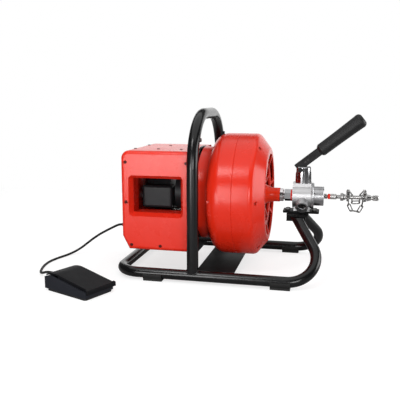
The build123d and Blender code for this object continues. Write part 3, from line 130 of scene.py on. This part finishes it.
# Weld beads: rippled fillets of weld metal round the hoop's feet on the rails and along
# the ends of the cross plate, coated with the frame.
def wire(name, places, thickness, closed=False, ripple=0, rounding=3):
    """A round wire through the places (metres), made a mesh; ripple swells every fourth point."""
    line = bpy.data.curves.new(name, "CURVE")
    line.dimensions = "3D"
    line.bevel_depth = thickness / 2
    line.bevel_resolution = rounding
    line.resolution_u = 3
    line.use_fill_caps = not closed
    spline = line.splines.new("NURBS")
    spline.points.add(len(places) - 1)
    for k, (point, place) in enumerate(zip(spline.points, places)):
        point.co = (*place, 1)
        point.radius = 1 + ripple * math.cos(math.pi * k / 2)
    spline.order_u = 4
    spline.use_cyclic_u = closed
    spline.use_endpoint_u = not closed
    piece = bpy.data.objects.new(name, line)
    bpy.context.collection.objects.link(piece)
    bpy.ops.object.select_all(action="DESELECT")
    piece.select_set(True)
    bpy.context.view_layer.objects.active = piece
    bpy.ops.object.convert(target="MESH")
    bpy.ops.object.shade_smooth()
    return bpy.context.object


def joined(name, pieces):
    """All the pieces as one object with its place in its mesh."""
    bpy.ops.object.select_all(action="DESELECT")
    for piece in pieces:
        piece.select_set(True)
    bpy.context.view_layer.objects.active = pieces[0]
    bpy.ops.object.join()
    bpy.ops.object.transform_apply(location=True, rotation=True, scale=True)
    whole = bpy.context.object
    whole.name = name
    whole.data.name = name
    return whole


def finished(piece, material, body, slot, *replaced):
    piece.data.materials.clear()
    piece.data.materials.append(material)
    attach(piece, body)
    if replaced:
        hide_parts(*replaced)


rail_side, rail_height, tube_radius = 0.1625, 0.0165, 0.0125
ring_radius, ring_points, least_rise, ring_lift = 0.0136, 136, 0.0064, 0.0004
seam_start, seam_length, seam_steps = 0.002, 0.087, 140
seam_side, seam_height = 0.1503, 0.0187
bead_ripple = 0.14
beads = []
for side in (-1, 1):
    saddle = []
    for k in range(ring_points):
        angle = 2 * math.pi * k / ring_points
        out = ring_radius * math.sin(angle)
        rise = math.sqrt(max(tube_radius ** 2 - out ** 2, least_rise ** 2))
        saddle.append((ring_radius * math.cos(angle), side * rail_side + out,
                       rail_height + rise + ring_lift))
    beads.append(wire("hoop_weld", saddle, thickness=0.0036, closed=True, ripple=bead_ripple))
    seam = [(seam_start + seam_length * k / seam_steps, side * seam_side, seam_height)
            for k in range(seam_steps + 1)]
    beads.append(wire("plate_weld", seam, thickness=0.003, ripple=bead_ripple))
finished(joined("frame_welds", beads), powder_coat, "frame", "frame_paint")


# Rubber shoes under the rails, the strain reliefs of the leads and the foot switch's base:
# black moulded rubber, matt, with a dusty bloom.
rubber = finish_material(
    "black_rubber", (0.009, 0.009, 0.009), (0.02, 0.0195, 0.019), rough=(0.58, 0.76),
    patch_size=30, grain_size=1800, grain_depth=0.00005, shine=0.3)
dress(rubber, "rubber_feet", "cord_glands", "pedal_base", "pedal_gland")


# Bearings, shafts, gears, spacers, top roller, plunger, guide tube and tool coupling: turned
# and ground bar steel, with fine rings from the lathe along the drum's axis.
def turning_group():
    """Fine rings left by a lathe, along one direction of the piece's own coordinates."""
    group = bpy.data.node_groups.new("turning_marks", "ShaderNodeTree")
    group.interface.new_socket("Along", in_out="INPUT", socket_type="NodeSocketVector")
    group.interface.new_socket("Rings", in_out="OUTPUT", socket_type="NodeSocketFloat")
    into, out = group.nodes.new("NodeGroupInput"), group.nodes.new("NodeGroupOutput")
    place = group.nodes.new("ShaderNodeTexCoord")
    reach = group.nodes.new("ShaderNodeVectorMath")
    reach.operation = "DOT_PRODUCT"
    rings = group.nodes.new("ShaderNodeTexNoise")
    rings.noise_dimensions = "1D"
    rings.inputs["Scale"].default_value = 2400
    rings.inputs["Detail"].default_value = 3
    link = group.links.new
    link(place.outputs["Object"], reach.inputs[0])
    link(into.outputs["Along"], reach.inputs[1])
    link(reach.outputs["Value"], rings.inputs["W"])
    link(rings.outputs["Fac"], out.inputs["Rings"])
    return group


turning_marks = turning_group()


def turned_finish(material, along=(1, 0, 0)):
    """Adds lathe rings to a finish, on top of its grain."""
    tree = material.node_tree
    rings = tree.nodes.new("ShaderNodeGroup")
    rings.node_tree = turning_marks
    rings.inputs["Along"].default_value = along
    both = tree.nodes.new("ShaderNodeMath")
    both.operation = "ADD"
    tree.links.new(tree.nodes["marks"].outputs["Grain"], both.inputs[0])
    tree.links.new(rings.outputs["Rings"], both.inputs[1])
    tree.links.new(both.outputs["Value"], tree.nodes["relief"].inputs["Height"])
    return material


turned_steel = turned_finish(finish_material(
    "turned_steel", (0.5, 0.49, 0.48), (0.4, 0.39, 0.38), rough=(0.22, 0.36),
    patch_size=40, grain_size=2600, grain_depth=0.000012, metal=1.0))
dress(turned_steel, "drum_shaft", "drum_gear", "motor_shaft", "motor_spacers", "drum_bearings",
      "top_roller", "plunger", "guide_tube", "tool_coupling")


# Motor, gear case and capacitor box: satin black enamel over cast and pressed metal,
# seen through the windows of the housing. The switches have the same black.
motor_enamel = finish_material(
    "motor_enamel", (0.009, 0.0097, 0.011), (0.014, 0.015, 0.0165), rough=(0.34, 0.46),
    patch_size=20, grain_size=900, grain_depth=0.00005, shine=0.18)
dress(motor_enamel, "motor_body", "capacitor_box", "gear_case", "selector_knob",
      "pedal_microswitch")


# Housing: moulded red plastic in a middle band and two side covers, screwed together.
# The moulding has a fine spark grain and a satin gloss.
red_moulding = finish_material(
    "red_moulding", (0.68, 0.022, 0.0085), (0.71, 0.026, 0.011), rough=(0.26, 0.32),
    patch_size=9, grain_size=2200, grain_depth=0.000018, shine=0.34)
dress(red_moulding, "housing_band", "near_cover", "far_cover")


# Housing screws: pan heads with a cross recess. The heads in the side recesses are painted a dark
# red, a painted shade that stands for the shaded red walls of the recesses; those on the top face
# are blackened. One head is modelled and copied to every place.
def pick(kind, test):
    """Selects the edit mesh's vertices, edges or faces that pass the test, and nothing else."""
    bpy.ops.mesh.select_mode(type=kind)
    bpy.ops.mesh.select_all(action="DESELECT")
    mesh = bmesh.from_edit_mesh(bpy.context.object.data)
    for item in {"VERT": mesh.verts, "EDGE": mesh.edges, "FACE": mesh.faces}[kind]:
        item.select_set(test(item))
    mesh.select_flush_mode()
    bmesh.update_edit_mesh(bpy.context.object.data)


def smooth_by_angle():
    """Smooth shading of the selected piece, with its real edges kept sharp."""
    bpy.ops.object.shade_smooth_by_angle(angle=math.radians(35))


def cross_head(radius, height):
    """A pan head along +Z standing on the origin, with a cross recess in its top."""
    bpy.ops.mesh.primitive_cylinder_add(
        vertices=32, radius=radius, depth=height, location=(0, 0, height / 2))
    head = bpy.context.object
    bpy.ops.object.transform_apply(location=True)
    bpy.ops.object.mode_set(mode="EDIT")
    pick("EDGE", lambda e: min(v.co.z for v in e.verts) > height * 0.9)
    bpy.ops.mesh.bevel(offset=height * 0.45, segments=4, affect="EDGES")
    bpy.ops.object.mode_set(mode="OBJECT")
    for turn in (0, math.pi / 2):
        bpy.ops.mesh.primitive_cube_add(size=1, location=(0, 0, height), rotation=(0, 0, turn))
        arm = bpy.context.object
        arm.scale = (radius * 1.15, radius * 0.26, height * 1.1)
        bpy.ops.object.transform_apply(location=True, rotation=True, scale=True)
        bpy.context.view_layer.objects.active = head
        cut = head.modifiers.new("recess", "BOOLEAN")
        cut.object = arm
        cut.operation = "DIFFERENCE"
        cut.solver = "EXACT"
        bpy.ops.object.modifier_apply(modifier=cut.name)
        bpy.data.objects.remove(arm, do_unlink=True)
    bpy.ops.object.select_all(action="DESELECT")
    head.select_set(True)
    smooth_by_angle()
    return head


def copies(first, places):
    """Copies of one piece at each place and turn, with their own meshes; the first goes."""
    made = []
    for place in places:
        twin = first.copy()
        twin.data = first.data.copy()
        bpy.context.collection.objects.link(twin)
        twin.matrix_world = place
        made.append(twin)
    bpy.data.objects.remove(first, do_unlink=True)
    return made


head_radius, head_height = 0.0038, 0.0012
cover_face, top_face = 0.113, 0.3
cover_spots = [(-0.178, 0.272), (-0.178, 0.175), (-0.166, 0.069), (-0.093, 0.069), (-0.027, 0.272)]
side_places = []
for side in (-1, 1):
    for k, (x, z) in enumerate(cover_spots):
        facing = Matrix.Rotation(-side * math.pi / 2, 4, "X")
        stopped_at = Matrix.Rotation(0.7 + 1.9 * k, 4, "Z")
        side_places.append(Matrix.Translation((x, side * cover_face, z)) @ (facing @ stopped_at))
# Painted shade: the side heads' dark red stands for the shaded red of the recesses round them.
recess_shade_screw = finish_material(
    "recess_shade_screw", (0.06, 0.004, 0.0035), (0.09, 0.006, 0.005), rough=(0.4, 0.55),
    patch_size=60, grain_size=1500, grain_depth=0.00003, shine=0.15)
finished(joined("cover_screws", copies(cross_head(head_radius, head_height), side_places)),
         recess_shade_screw, "frame", "dark_screws", "housing_screws")
black_screw = finish_material(
    "blackened_screw", (0.014, 0.013, 0.013), (0.035, 0.032, 0.032), rough=(0.32, 0.48),
    patch_size=60, grain_size=1500, grain_depth=0.00003, metal=0.5)
top_places = [Matrix.Translation((x, y, top_face)) @ Matrix.Rotation(9 * x + 5 * y, 4, "Z")
              for x in (-0.172, -0.112, -0.054) for y in (-0.055, 0.055)]
finished(joined("top_screws", copies(cross_head(head_radius, head_height), top_places)),
         black_screw, "frame", "dark_screws", "housing_screws")
dress(black_screw, "frame_bolts", "drum_screws")


# Drum: two glossy red moulded shells with a spoked front face, and the rings of the feed
# inlet and the coupling in the same red. The nose cone's red is painted brighter than the drum's,
# as painted light that stands for the light falling on it.
drum_moulding = finish_material(
    "drum_moulding", (0.62, 0.0195, 0.0062), (0.65, 0.022, 0.0076), rough=(0.25, 0.31),
    patch_size=7, grain_size=2600, grain_depth=0.000008, shine=0.32)
dress(drum_moulding, "drum_rear", "drum_front", "inlet_ring", "coupling_ring")
# Painted light: the nose cone's base colour is raised above the drum's red in place of the light
# it gets.
nose_painted_light = finish_material(
    "nose_painted_light", (0.9, 0.036, 0.008), (0.92, 0.04, 0.01), rough=(0.25, 0.31),
    patch_size=7, grain_size=2600, grain_depth=0.000008, shine=0.2)
dress(nose_painted_light, "nose_cone")


# Spiral: close-wound spring steel cable, six loops inside the drum, its straight run
# through the feed unit and the open coils at the coupling.
def calculator(tree):
    """A function that adds a math node to the tree, fed with sockets or plain numbers."""
    def calculate(operation, first, second=0):
        step = tree.nodes.new("ShaderNodeMath")
        step.operation = operation
        for socket, value in zip(step.inputs, (first, second)):
            if isinstance(value, (int, float)):
                socket.default_value = value
            else:
                tree.links.new(value, socket)
        return step.outputs["Value"]

    return calculate


def axis_angle(calculate, split):
    """The angle of a point round the drum's axis, in radians."""
    height = calculate("SUBTRACT", split.outputs["Z"], axis_height)
    return calculate("ARCTAN2", split.outputs["Y"], height)


def lay_material(name, length=0):
    """Steel with the groove of a close-wound wire: by the UV map on loops of a given length,
    or round the drum's axis on the straight run."""
    material = finish_material(
        name, (0.34, 0.335, 0.33), (0.24, 0.235, 0.23), rough=(0.3, 0.44),
        patch_size=40, grain_size=1800, grain_depth=0.0005, metal=1.0)
    tree = material.node_tree
    calculate = calculator(tree)
    split = tree.nodes.new("ShaderNodeSeparateXYZ")
    if length:
        place = tree.nodes.new("ShaderNodeUVMap")
        tree.links.new(place.outputs["UV"], split.inputs["Vector"])
        along = calculate("MULTIPLY", split.outputs["X"], length / lay_pitch)
        around = split.outputs["Y"]
    else:
        place = tree.nodes.new("ShaderNodeTexCoord")
        tree.links.new(place.outputs["Object"], split.inputs["Vector"])
        along = calculate("DIVIDE", split.outputs["X"], lay_pitch)
        around = calculate("DIVIDE", axis_angle(calculate, split), 2 * math.pi)
    phase = calculate("MULTIPLY", calculate("ADD", along, around), 2 * math.pi)
    tree.links.new(calculate("SINE", phase), tree.nodes["relief"].inputs["Height"])
    return material


def helix(centre, along, side, radius, pitch, turns, steps):
    """Control points of a wound wire, widened so that the smooth line has the radius asked for."""
    centre, along, side = Vector(centre), Vector(along), Vector(side)
    other = along.cross(side)
    wide = radius * 3 / (2 + math.cos(2 * math.pi / steps))
    points = []
    for k in range(turns * steps + 1):
        angle = 2 * math.pi * k / steps
        spoke = side * math.cos(angle) + other * math.sin(angle)
        points.append(centre + along * (pitch * k / steps) + spoke * wide)
    return points


axis_height, lay_pitch = 0.188, 0.0042
loop_radius, loop_turns, cable_thickness = 0.1231, 6, 0.013
loops = helix((0.044, 0, axis_height), along=(1, 0, 0), side=(0, 0, 1), radius=loop_radius,
              pitch=0.0137, turns=loop_turns, steps=24)
finished(wire("spiral_loops", loops, cable_thickness, rounding=5),
         lay_material("wound_loops", loop_turns * 2 * math.pi * loop_radius),
         "drum", "plain_steel", "spiral_coil")
dress(lay_material("wound_run"), "spiral_shaft")
end_coils = helix((0.2864, 0, axis_height), along=(1, 0, 0), side=(0, 0, 1), radius=0.0054,
                  pitch=0.0028, turns=4, steps=16)
bright_wire = finish_material(
    "bright_wire", (0.42, 0.41, 0.4), (0.3, 0.29, 0.285), rough=(0.24, 0.38),
    patch_size=60, grain_size=2600, grain_depth=0.00001, metal=1.0)
finished(wire("spiral_coils", end_coils, thickness=0.0022), bright_wire, "spiral", "plain_steel",
         "spiral_end")


# Chain tool: turned steel rod with two hubs and a knurled end; two collars turn on it
# and carry a long and a short chain of round-wire links.
def knurled(material, start, end, pitch, ridges, depth):
    """Crossed knurling round the drum's axis, between two places along it."""
    tree = material.node_tree
    link, calculate = tree.links.new, calculator(tree)
    place, split = tree.nodes.new("ShaderNodeTexCoord"), tree.nodes.new("ShaderNodeSeparateXYZ")
    link(place.outputs["Object"], split.inputs["Vector"])
    turn = calculate("MULTIPLY", axis_angle(calculate, split), ridges)
    along = calculate("MULTIPLY", split.outputs["X"], 2 * math.pi / pitch)
    left = calculate("SINE", calculate("ADD", along, turn))
    right = calculate("SINE", calculate("SUBTRACT", along, turn))
    inside = calculate("MULTIPLY", calculate("GREATER_THAN", split.outputs["X"], start),
                       calculate("LESS_THAN", split.outputs["X"], end))
    knurl = tree.nodes.new("ShaderNodeBump")
    knurl.inputs["Distance"].default_value = depth
    teeth = calculate("MULTIPLY", left, right)
    link(calculate("MULTIPLY", teeth, inside), knurl.inputs["Height"])
    link(tree.nodes["relief"].outputs["Normal"], knurl.inputs["Normal"])
    link(knurl.outputs["Normal"], tree.nodes["Principled BSDF"].inputs["Normal"])
    return material


tool_steel = turned_finish(finish_material(
    "tool_steel", (0.4, 0.395, 0.39), (0.3, 0.295, 0.29), rough=(0.2, 0.34),
    patch_size=50, grain_size=2600, grain_depth=0.000012, metal=1.0))
dress(knurled(tool_steel, start=0.4055, end=0.4165, pitch=0.0022, ridges=18, depth=0.0005),
      "chain_tool")


def round_link(length, width, thickness):
    """One oval link lying along X in the XY plane: a ring pulled out to length."""
    bpy.ops.mesh.primitive_torus_add(
        major_radius=(width - thickness) / 2, minor_radius=thickness / 2,
        major_segments=24, minor_segments=10)
    ring = bpy.context.object
    bpy.ops.object.mode_set(mode="EDIT")
    for way in (-1, 1):
        pick("VERT", lambda v: v.co.x * way > thickness / 20)
        bpy.ops.transform.translate(value=(way * (length - width) / 2, 0, 0))
    bpy.ops.object.mode_set(mode="OBJECT")
    bpy.ops.object.shade_smooth()
    return ring


def link_places(knots):
    """Places of links from knot to knot, every other one a quarter turn round;
    the end links lie flat on the collars."""
    places = []
    for k, (a, b) in enumerate(zip(knots, knots[1:])):
        a, b = Vector(a), Vector(b)
        heading = (b - a).normalized()
        outward = (a + b) / 2 - axis_point
        outward.x = 0
        if k in (0, len(knots) - 2):
            across = heading.cross(outward).normalized()
        elif k % 2 == 0:
            across = heading.cross(Vector((0, 1, 0))).normalized()
        else:
            across = (Vector((0, 1, 0)) - heading * heading.y).normalized()
        axes = Matrix((heading, across, heading.cross(across))).transposed().to_4x4()
        places.append(Matrix.Translation((a + b) / 2) @ axes)
    return places


def rounded_rims(piece, width, angle):
    """Rounds the edges of the active piece that are sharper than the angle in degrees."""
    rims = piece.modifiers.new("rims", "BEVEL")
    rims.width = width
    rims.segments = 3
    rims.angle_limit = math.radians(angle)
    bpy.ops.object.modifier_apply(modifier=rims.name)
    smooth_by_angle()


def chain_collar(place, radius, hole, length):
    """A ring along X with rounded rims: a cylinder whose ends are inset, opened and bridged."""
    bpy.ops.mesh.primitive_cylinder_add(
        vertices=48, radius=radius, depth=length, location=place, rotation=(0, math.pi / 2, 0))
    ring = bpy.context.object
    bpy.ops.object.transform_apply(location=True, rotation=True)
    bpy.ops.object.mode_set(mode="EDIT")
    pick("FACE", lambda f: abs(f.normal.x) > 0.9)
    bpy.ops.mesh.inset(thickness=radius - hole)
    bpy.ops.mesh.delete(type="FACE")
    pick("EDGE", lambda e: e.is_boundary)
    bpy.ops.mesh.bridge_edge_loops()
    bpy.ops.mesh.select_all(action="SELECT")
    bpy.ops.mesh.normals_make_consistent(inside=False)
    bpy.ops.object.mode_set(mode="OBJECT")
    rounded_rims(ring, width=0.001, angle=30)
    return ring


def chain_studs(knots):
    """A place for the stud through each end link of a chain, along the collar's radius."""
    places = []
    for a, b in ((knots[0], knots[1]), (knots[-1], knots[-2])):
        foot = Vector(a) + (Vector(b) - Vector(a)).normalized() * stud_shift
        outward = foot - axis_point
        outward.x = 0
        turn = outward.to_track_quat("Z", "X").to_matrix().to_4x4()
        places.append(Matrix.Translation(foot + outward.normalized() * stud_shift) @ turn)
    return places


def stud(radius, shank, head):
    """A stud along Z: its shank below the origin, and a head drawn out of it above."""
    bpy.ops.mesh.primitive_cylinder_add(
        vertices=24, radius=radius, depth=shank, location=(0, 0, -shank / 2))
    bolt = bpy.context.object
    bpy.ops.object.transform_apply(location=True)
    bpy.ops.object.mode_set(mode="EDIT")
    pick("FACE", lambda f: f.normal.z > 0.9)
    bpy.ops.mesh.extrude_region_move()
    bpy.ops.transform.resize(value=(2, 2, 1))
    bpy.ops.mesh.extrude_region_move(TRANSFORM_OT_translate={"value": (0, 0, head)})
    bpy.ops.object.mode_set(mode="OBJECT")
    rounded_rims(bolt, width=head / 5, angle=50)
    return bolt


axis_point = Vector((0, 0, axis_height))
link_wire, link_pitch, link_width = 0.003, 0.01665, 0.0098
stud_shift = link_wire * 0.6
long_chain = [
    (0.347, -0.0064, 0.2025), (0.347, -0.0155, 0.1885), (0.3485, -0.0126, 0.1722),
    (0.3555, -0.0098, 0.1573), (0.372, -0.0093, 0.155), (0.3793, -0.0115, 0.1698),
    (0.3815, -0.0153, 0.1859), (0.386, -0.0075, 0.2),
]
short_chain = [
    (0.3463, 0.0045, 0.2026), (0.3555, 0.01, 0.19), (0.3575, 0.011, 0.1736),
    (0.3741, 0.011, 0.1746), (0.3765, 0.01, 0.191), (0.386, 0.0045, 0.2033),
]
chain_pieces = [chain_collar((x, 0, axis_height), radius=0.0102, hole=0.00455, length=0.006)
                for x in (0.3465, 0.386)]
chain_pieces += copies(round_link(link_pitch + 2 * link_wire, link_width, link_wire),
                       link_places(long_chain) + link_places(short_chain))
chain_pieces += copies(stud(radius=0.0016, shank=0.0062, head=0.0026),
                       chain_studs(long_chain) + chain_studs(short_chain))
chain_steel = finish_material(
    "chain_steel", (0.26, 0.257, 0.252), (0.16, 0.157, 0.154), rough=(0.24, 0.4),
    patch_size=70, grain_size=2000, grain_depth=0.00002, metal=1.0)
finished(joined("tool_chains", chain_pieces), chain_steel, "chain_set", "plain_steel", "chains")


# Feed unit: ground and turned aluminium castings, as is the bearing housing, with blackened
# roller holders and rollers. The plunger post and the hexagonal inlet are chromed steel. The nose
# collar is steel painted brighter and pinker than the chrome: a painted highlight and a painted
# reflection of the red drum. A wire spring lifts the plunger in the post.
ground_casting = finish_material(
    "ground_casting", (0.46, 0.46, 0.465), (0.4, 0.4, 0.405), rough=(0.4, 0.48),
    patch_size=35, grain_size=700, grain_depth=0.00002, metal=1.0)
dress(ground_casting, "feed_body", "bearing_housing")
dress(black_screw, "roller_carriers", "near_roller", "far_roller")
turned_nozzle = turned_finish(finish_material(
    "turned_nozzle", (0.42, 0.42, 0.43), (0.36, 0.36, 0.37), rough=(0.28, 0.38),
    patch_size=35, grain_size=1500, grain_depth=0.000008, metal=1.0))
dress(turned_nozzle, "outlet_nozzle")
chromed_steel = finish_material(
    "chromed_steel", (0.36, 0.36, 0.37), (0.31, 0.31, 0.32), rough=(0.06, 0.12),
    patch_size=40, grain_size=1500, grain_depth=0.000004, metal=1.0)
dress(chromed_steel, "plunger_post", "feed_inlet")
# Painted highlight and reflection: the collar's steel is brighter than the chrome and tinted pink
# by the red drum.
collar_painted_highlight = finish_material(
    "collar_painted_highlight", (0.66, 0.62, 0.63), (0.6, 0.56, 0.57), rough=(0.08, 0.16),
    patch_size=40, grain_size=1500, grain_depth=0.000004, metal=1.0)
dress(collar_painted_highlight, "nose_collar")
plunger_turns = helix((0.2395, 0, 0.226), along=(0, 0, 1), side=(1, 0, 0), radius=0.0082,
                      pitch=0.0032973, turns=4, steps=20)
plunger_coil = wire("plunger_coil", plunger_turns, thickness=0.0018)
finished(plunger_coil, bright_wire, "frame", "plain_steel", "plunger_spring")
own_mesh(plunger_coil)


# Feed lever: black enamelled flat bar on a black pivot bolt, with two blackened screws
# and a moulded black grip.
lever_enamel = finish_material(
    "lever_enamel", (0.008, 0.008, 0.0085), (0.016, 0.016, 0.0165), rough=(0.36, 0.46),
    patch_size=40, grain_size=1200, grain_depth=0.00003, shine=0.14)
dress(lever_enamel, "lever_bar", "lever_pivot")
grip_moulding = finish_material(
    "grip_moulding", (0.006, 0.006, 0.0063), (0.01, 0.01, 0.0104), rough=(0.44, 0.54),
    patch_size=30, grain_size=1500, grain_depth=0.00002, shine=0.3)
dress(grip_moulding, "lever_grip")
dress(black_screw, "lever_screws")


# Foot switch: slate moulded body and a darker treadle on a blackened pin, with a return
# spring and a microswitch inside.
slate_moulding = finish_material(
    "slate_moulding", (0.0115, 0.0125, 0.017), (0.0155, 0.0168, 0.0215), rough=(0.46, 0.58),
    patch_size=22, grain_size=1600, grain_depth=0.00006, shine=0.14)
treadle_moulding = finish_material(
    "treadle_moulding", (0.0048, 0.005, 0.0062), (0.0075, 0.0078, 0.009), rough=(0.46, 0.58),
    patch_size=22, grain_size=1600, grain_depth=0.00006, shine=0.08)
dress(slate_moulding, "pedal_body")
dress(treadle_moulding, "treadle")
dress(black_screw, "pedal_hinge_pin")
pedal_turn = Matrix.Rotation(math.radians(-23.1), 4, "Z")
pedal_place = Matrix.Translation((-0.3053, -0.2867, 0)) @ pedal_turn
spring_foot = pedal_place @ Vector((0.08, 0.0425, 0.0089))
return_turns = helix(spring_foot, along=(0, 0, 1), side=pedal_turn.to_3x3() @ Vector((1, 0, 0)),
                     radius=0.0052, pitch=0.0033626, turns=5, steps=20)
return_coil = wire("return_coil", return_turns, thickness=0.0016)
finished(return_coil, bright_wire, "frame", "plain_steel", "pedal_spring")
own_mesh(return_coil)


# Foot switch cord: round rubber lead from the housing's rear wall to the foot switch,
# lying on the floor in one loop. Its route is in millimetres.
route = [
    (-214, -45, 102.5), (-223, -45, 102.5), (-240, -37, 94), (-262, -26, 82), (-290, -12, 66.5),
    (-318, 3, 48), (-342, 13, 30), (-358, 14, 17.5), (-372, 6, 8.5), (-382, -9, 4.2),
    (-389, -29, 3.2), (-398, -57, 3.2), (-403, -88, 3.2), (-400, -121, 3.2), (-391, -152, 3.2),
    (-379, -181, 4.2), (-362, -204, 10), (-339.8, -222, 20), (-323.126, -229.087, 22),
    (-313.927, -233.01, 22),
]
lead_curve = bpy.data.curves.new("foot_lead", "CURVE")
lead_curve.dimensions = "3D"
lead_curve.bevel_depth = 0.003
lead_curve.bevel_resolution = 5
lead_curve.resolution_u = 8
lead_line = lead_curve.splines.new("NURBS")
lead_line.points.add(len(route) - 1)
for point, place in zip(lead_line.points, route):
    point.co = (place[0] / 1000, place[1] / 1000, place[2] / 1000, 1)
lead_line.order_u = 3
lead_line.use_endpoint_u = True
foot_lead = bpy.data.objects.new("foot_lead", lead_curve)
bpy.context.collection.objects.link(foot_lead)
lead_curve.materials.append(rubber)
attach(foot_lead, "frame")
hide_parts("foot_switch_cord")


# Studio: pale paper floor under a large soft box, in white surroundings. Boxes in front wash the
# flat side, the drum and the feed unit; one at the right lights the drum's front slope and one
# behind the top faces.
bpy.ops.mesh.primitive_plane_add(size=4, location=(0, -1, 0))
floor = bpy.context.object
floor.name = "studio_floor"
bpy.ops.object.transform_apply(location=True)
paper = bpy.data.materials.new("studio_paper")
paper.use_nodes = True
paper_tree = paper.node_tree
paper_shader = paper_tree.nodes["Principled BSDF"]
paper_shader.inputs["Base Color"].default_value = (0.4, 0.4, 0.4, 1)
paper_shader.inputs["Roughness"].default_value = 0.9
paper_shader.inputs["Specular IOR Level"].default_value = 0.1
paper_shader.inputs["Emission Color"].default_value = (1, 1, 1, 1)
paper_seen = paper_tree.nodes.new("ShaderNodeLightPath")
paper_glow = paper_tree.nodes.new("ShaderNodeMapRange")
paper_glow.inputs["To Max"].default_value = 0.69
paper_tree.links.new(paper_seen.outputs["Is Camera Ray"], paper_glow.inputs["Value"])
paper_tree.links.new(paper_glow.outputs["Result"], paper_shader.inputs["Emission Strength"])
floor.data.materials.append(paper)


def soft_box(name, place, aim, size, glow):
    """An area light of a given brightness, turned to the point it lights."""
    light = bpy.data.lights.new(name, "AREA")
    light.shape = "RECTANGLE"
    light.size, light.size_y = size
    light.energy = math.pi * size[0] * size[1] * glow
    box = bpy.data.objects.new(name, light)
    bpy.context.collection.objects.link(box)
    box.location = place
    box.rotation_euler = (Vector(aim) - Vector(place)).to_track_quat("-Z", "Y").to_euler()


soft_box("top_box", (0.0, 0.0, 2.1), aim=(0, 0, 0.2), size=(3.4, 3.0), glow=1.15)
soft_box("front_box", (-0.5, -1.55, 0.17), aim=(-0.1, 0, 0.22), size=(0.7, 0.3), glow=12.0)
soft_box("drum_box", (-0.26, -1.58, 0.55), aim=(0.05, 0, 0.24), size=(0.35, 0.45), glow=8.0)
soft_box("key_box", (-0.45, -1.4, 1.7), aim=(0, 0, 0.2), size=(0.5, 0.5), glow=13.0)
soft_box("fill_box", (0.6, -1.55, 0.36), aim=(0.18, 0, 0.2), size=(0.4, 0.5), glow=12.0)
soft_box("right_box", (1.7, 0.1, 0.5), aim=(0.1, 0, 0.25), size=(1.2, 0.9), glow=5.0)
soft_box("back_box", (0.1, 1.6, 0.55), aim=(0, 0, 0.3), size=(3.2, 1.1), glow=1.25)
world = bpy.data.worlds.new("studio")
bpy.context.scene.world = world
world.use_nodes = True
world_nodes, link = world.node_tree.nodes, world.node_tree.links.new
walls, backdrop = world_nodes["Background"], world_nodes.new("ShaderNodeBackground")
for background, strength in ((walls, 0.08), (backdrop, 1.0)):
    background.inputs["Color"].default_value = (1, 1, 1, 1)
    background.inputs["Strength"].default_value = strength
seen = world_nodes.new("ShaderNodeLightPath")
either = world_nodes.new("ShaderNodeMixShader")
link(seen.outputs["Is Camera Ray"], either.inputs["Fac"])
link(walls.outputs["Background"], either.inputs[1])
link(backdrop.outputs["Background"], either.inputs[2])
link(either.outputs["Shader"], world_nodes["World Output"].inputs["Surface"])
bpy.context.scene.view_settings.view_transform = "Standard"


# Camera: its place, turn and lens were fitted to the photograph, a little above the drum and
# to the right of the housing.
camera_data = bpy.data.cameras.new("photo_camera")
camera_data.sensor_width = 36
camera_data.lens = 50.99
camera = bpy.data.objects.new("photo_camera", camera_data)
bpy.context.collection.objects.link(camera)
camera.location = (0.30167, -1.39374, 0.4217)
look_down, look_left = 0.1767, 0.2267
camera.rotation_euler = (math.pi / 2 - look_down, 0, look_left)
bpy.context.scene.camera = camera
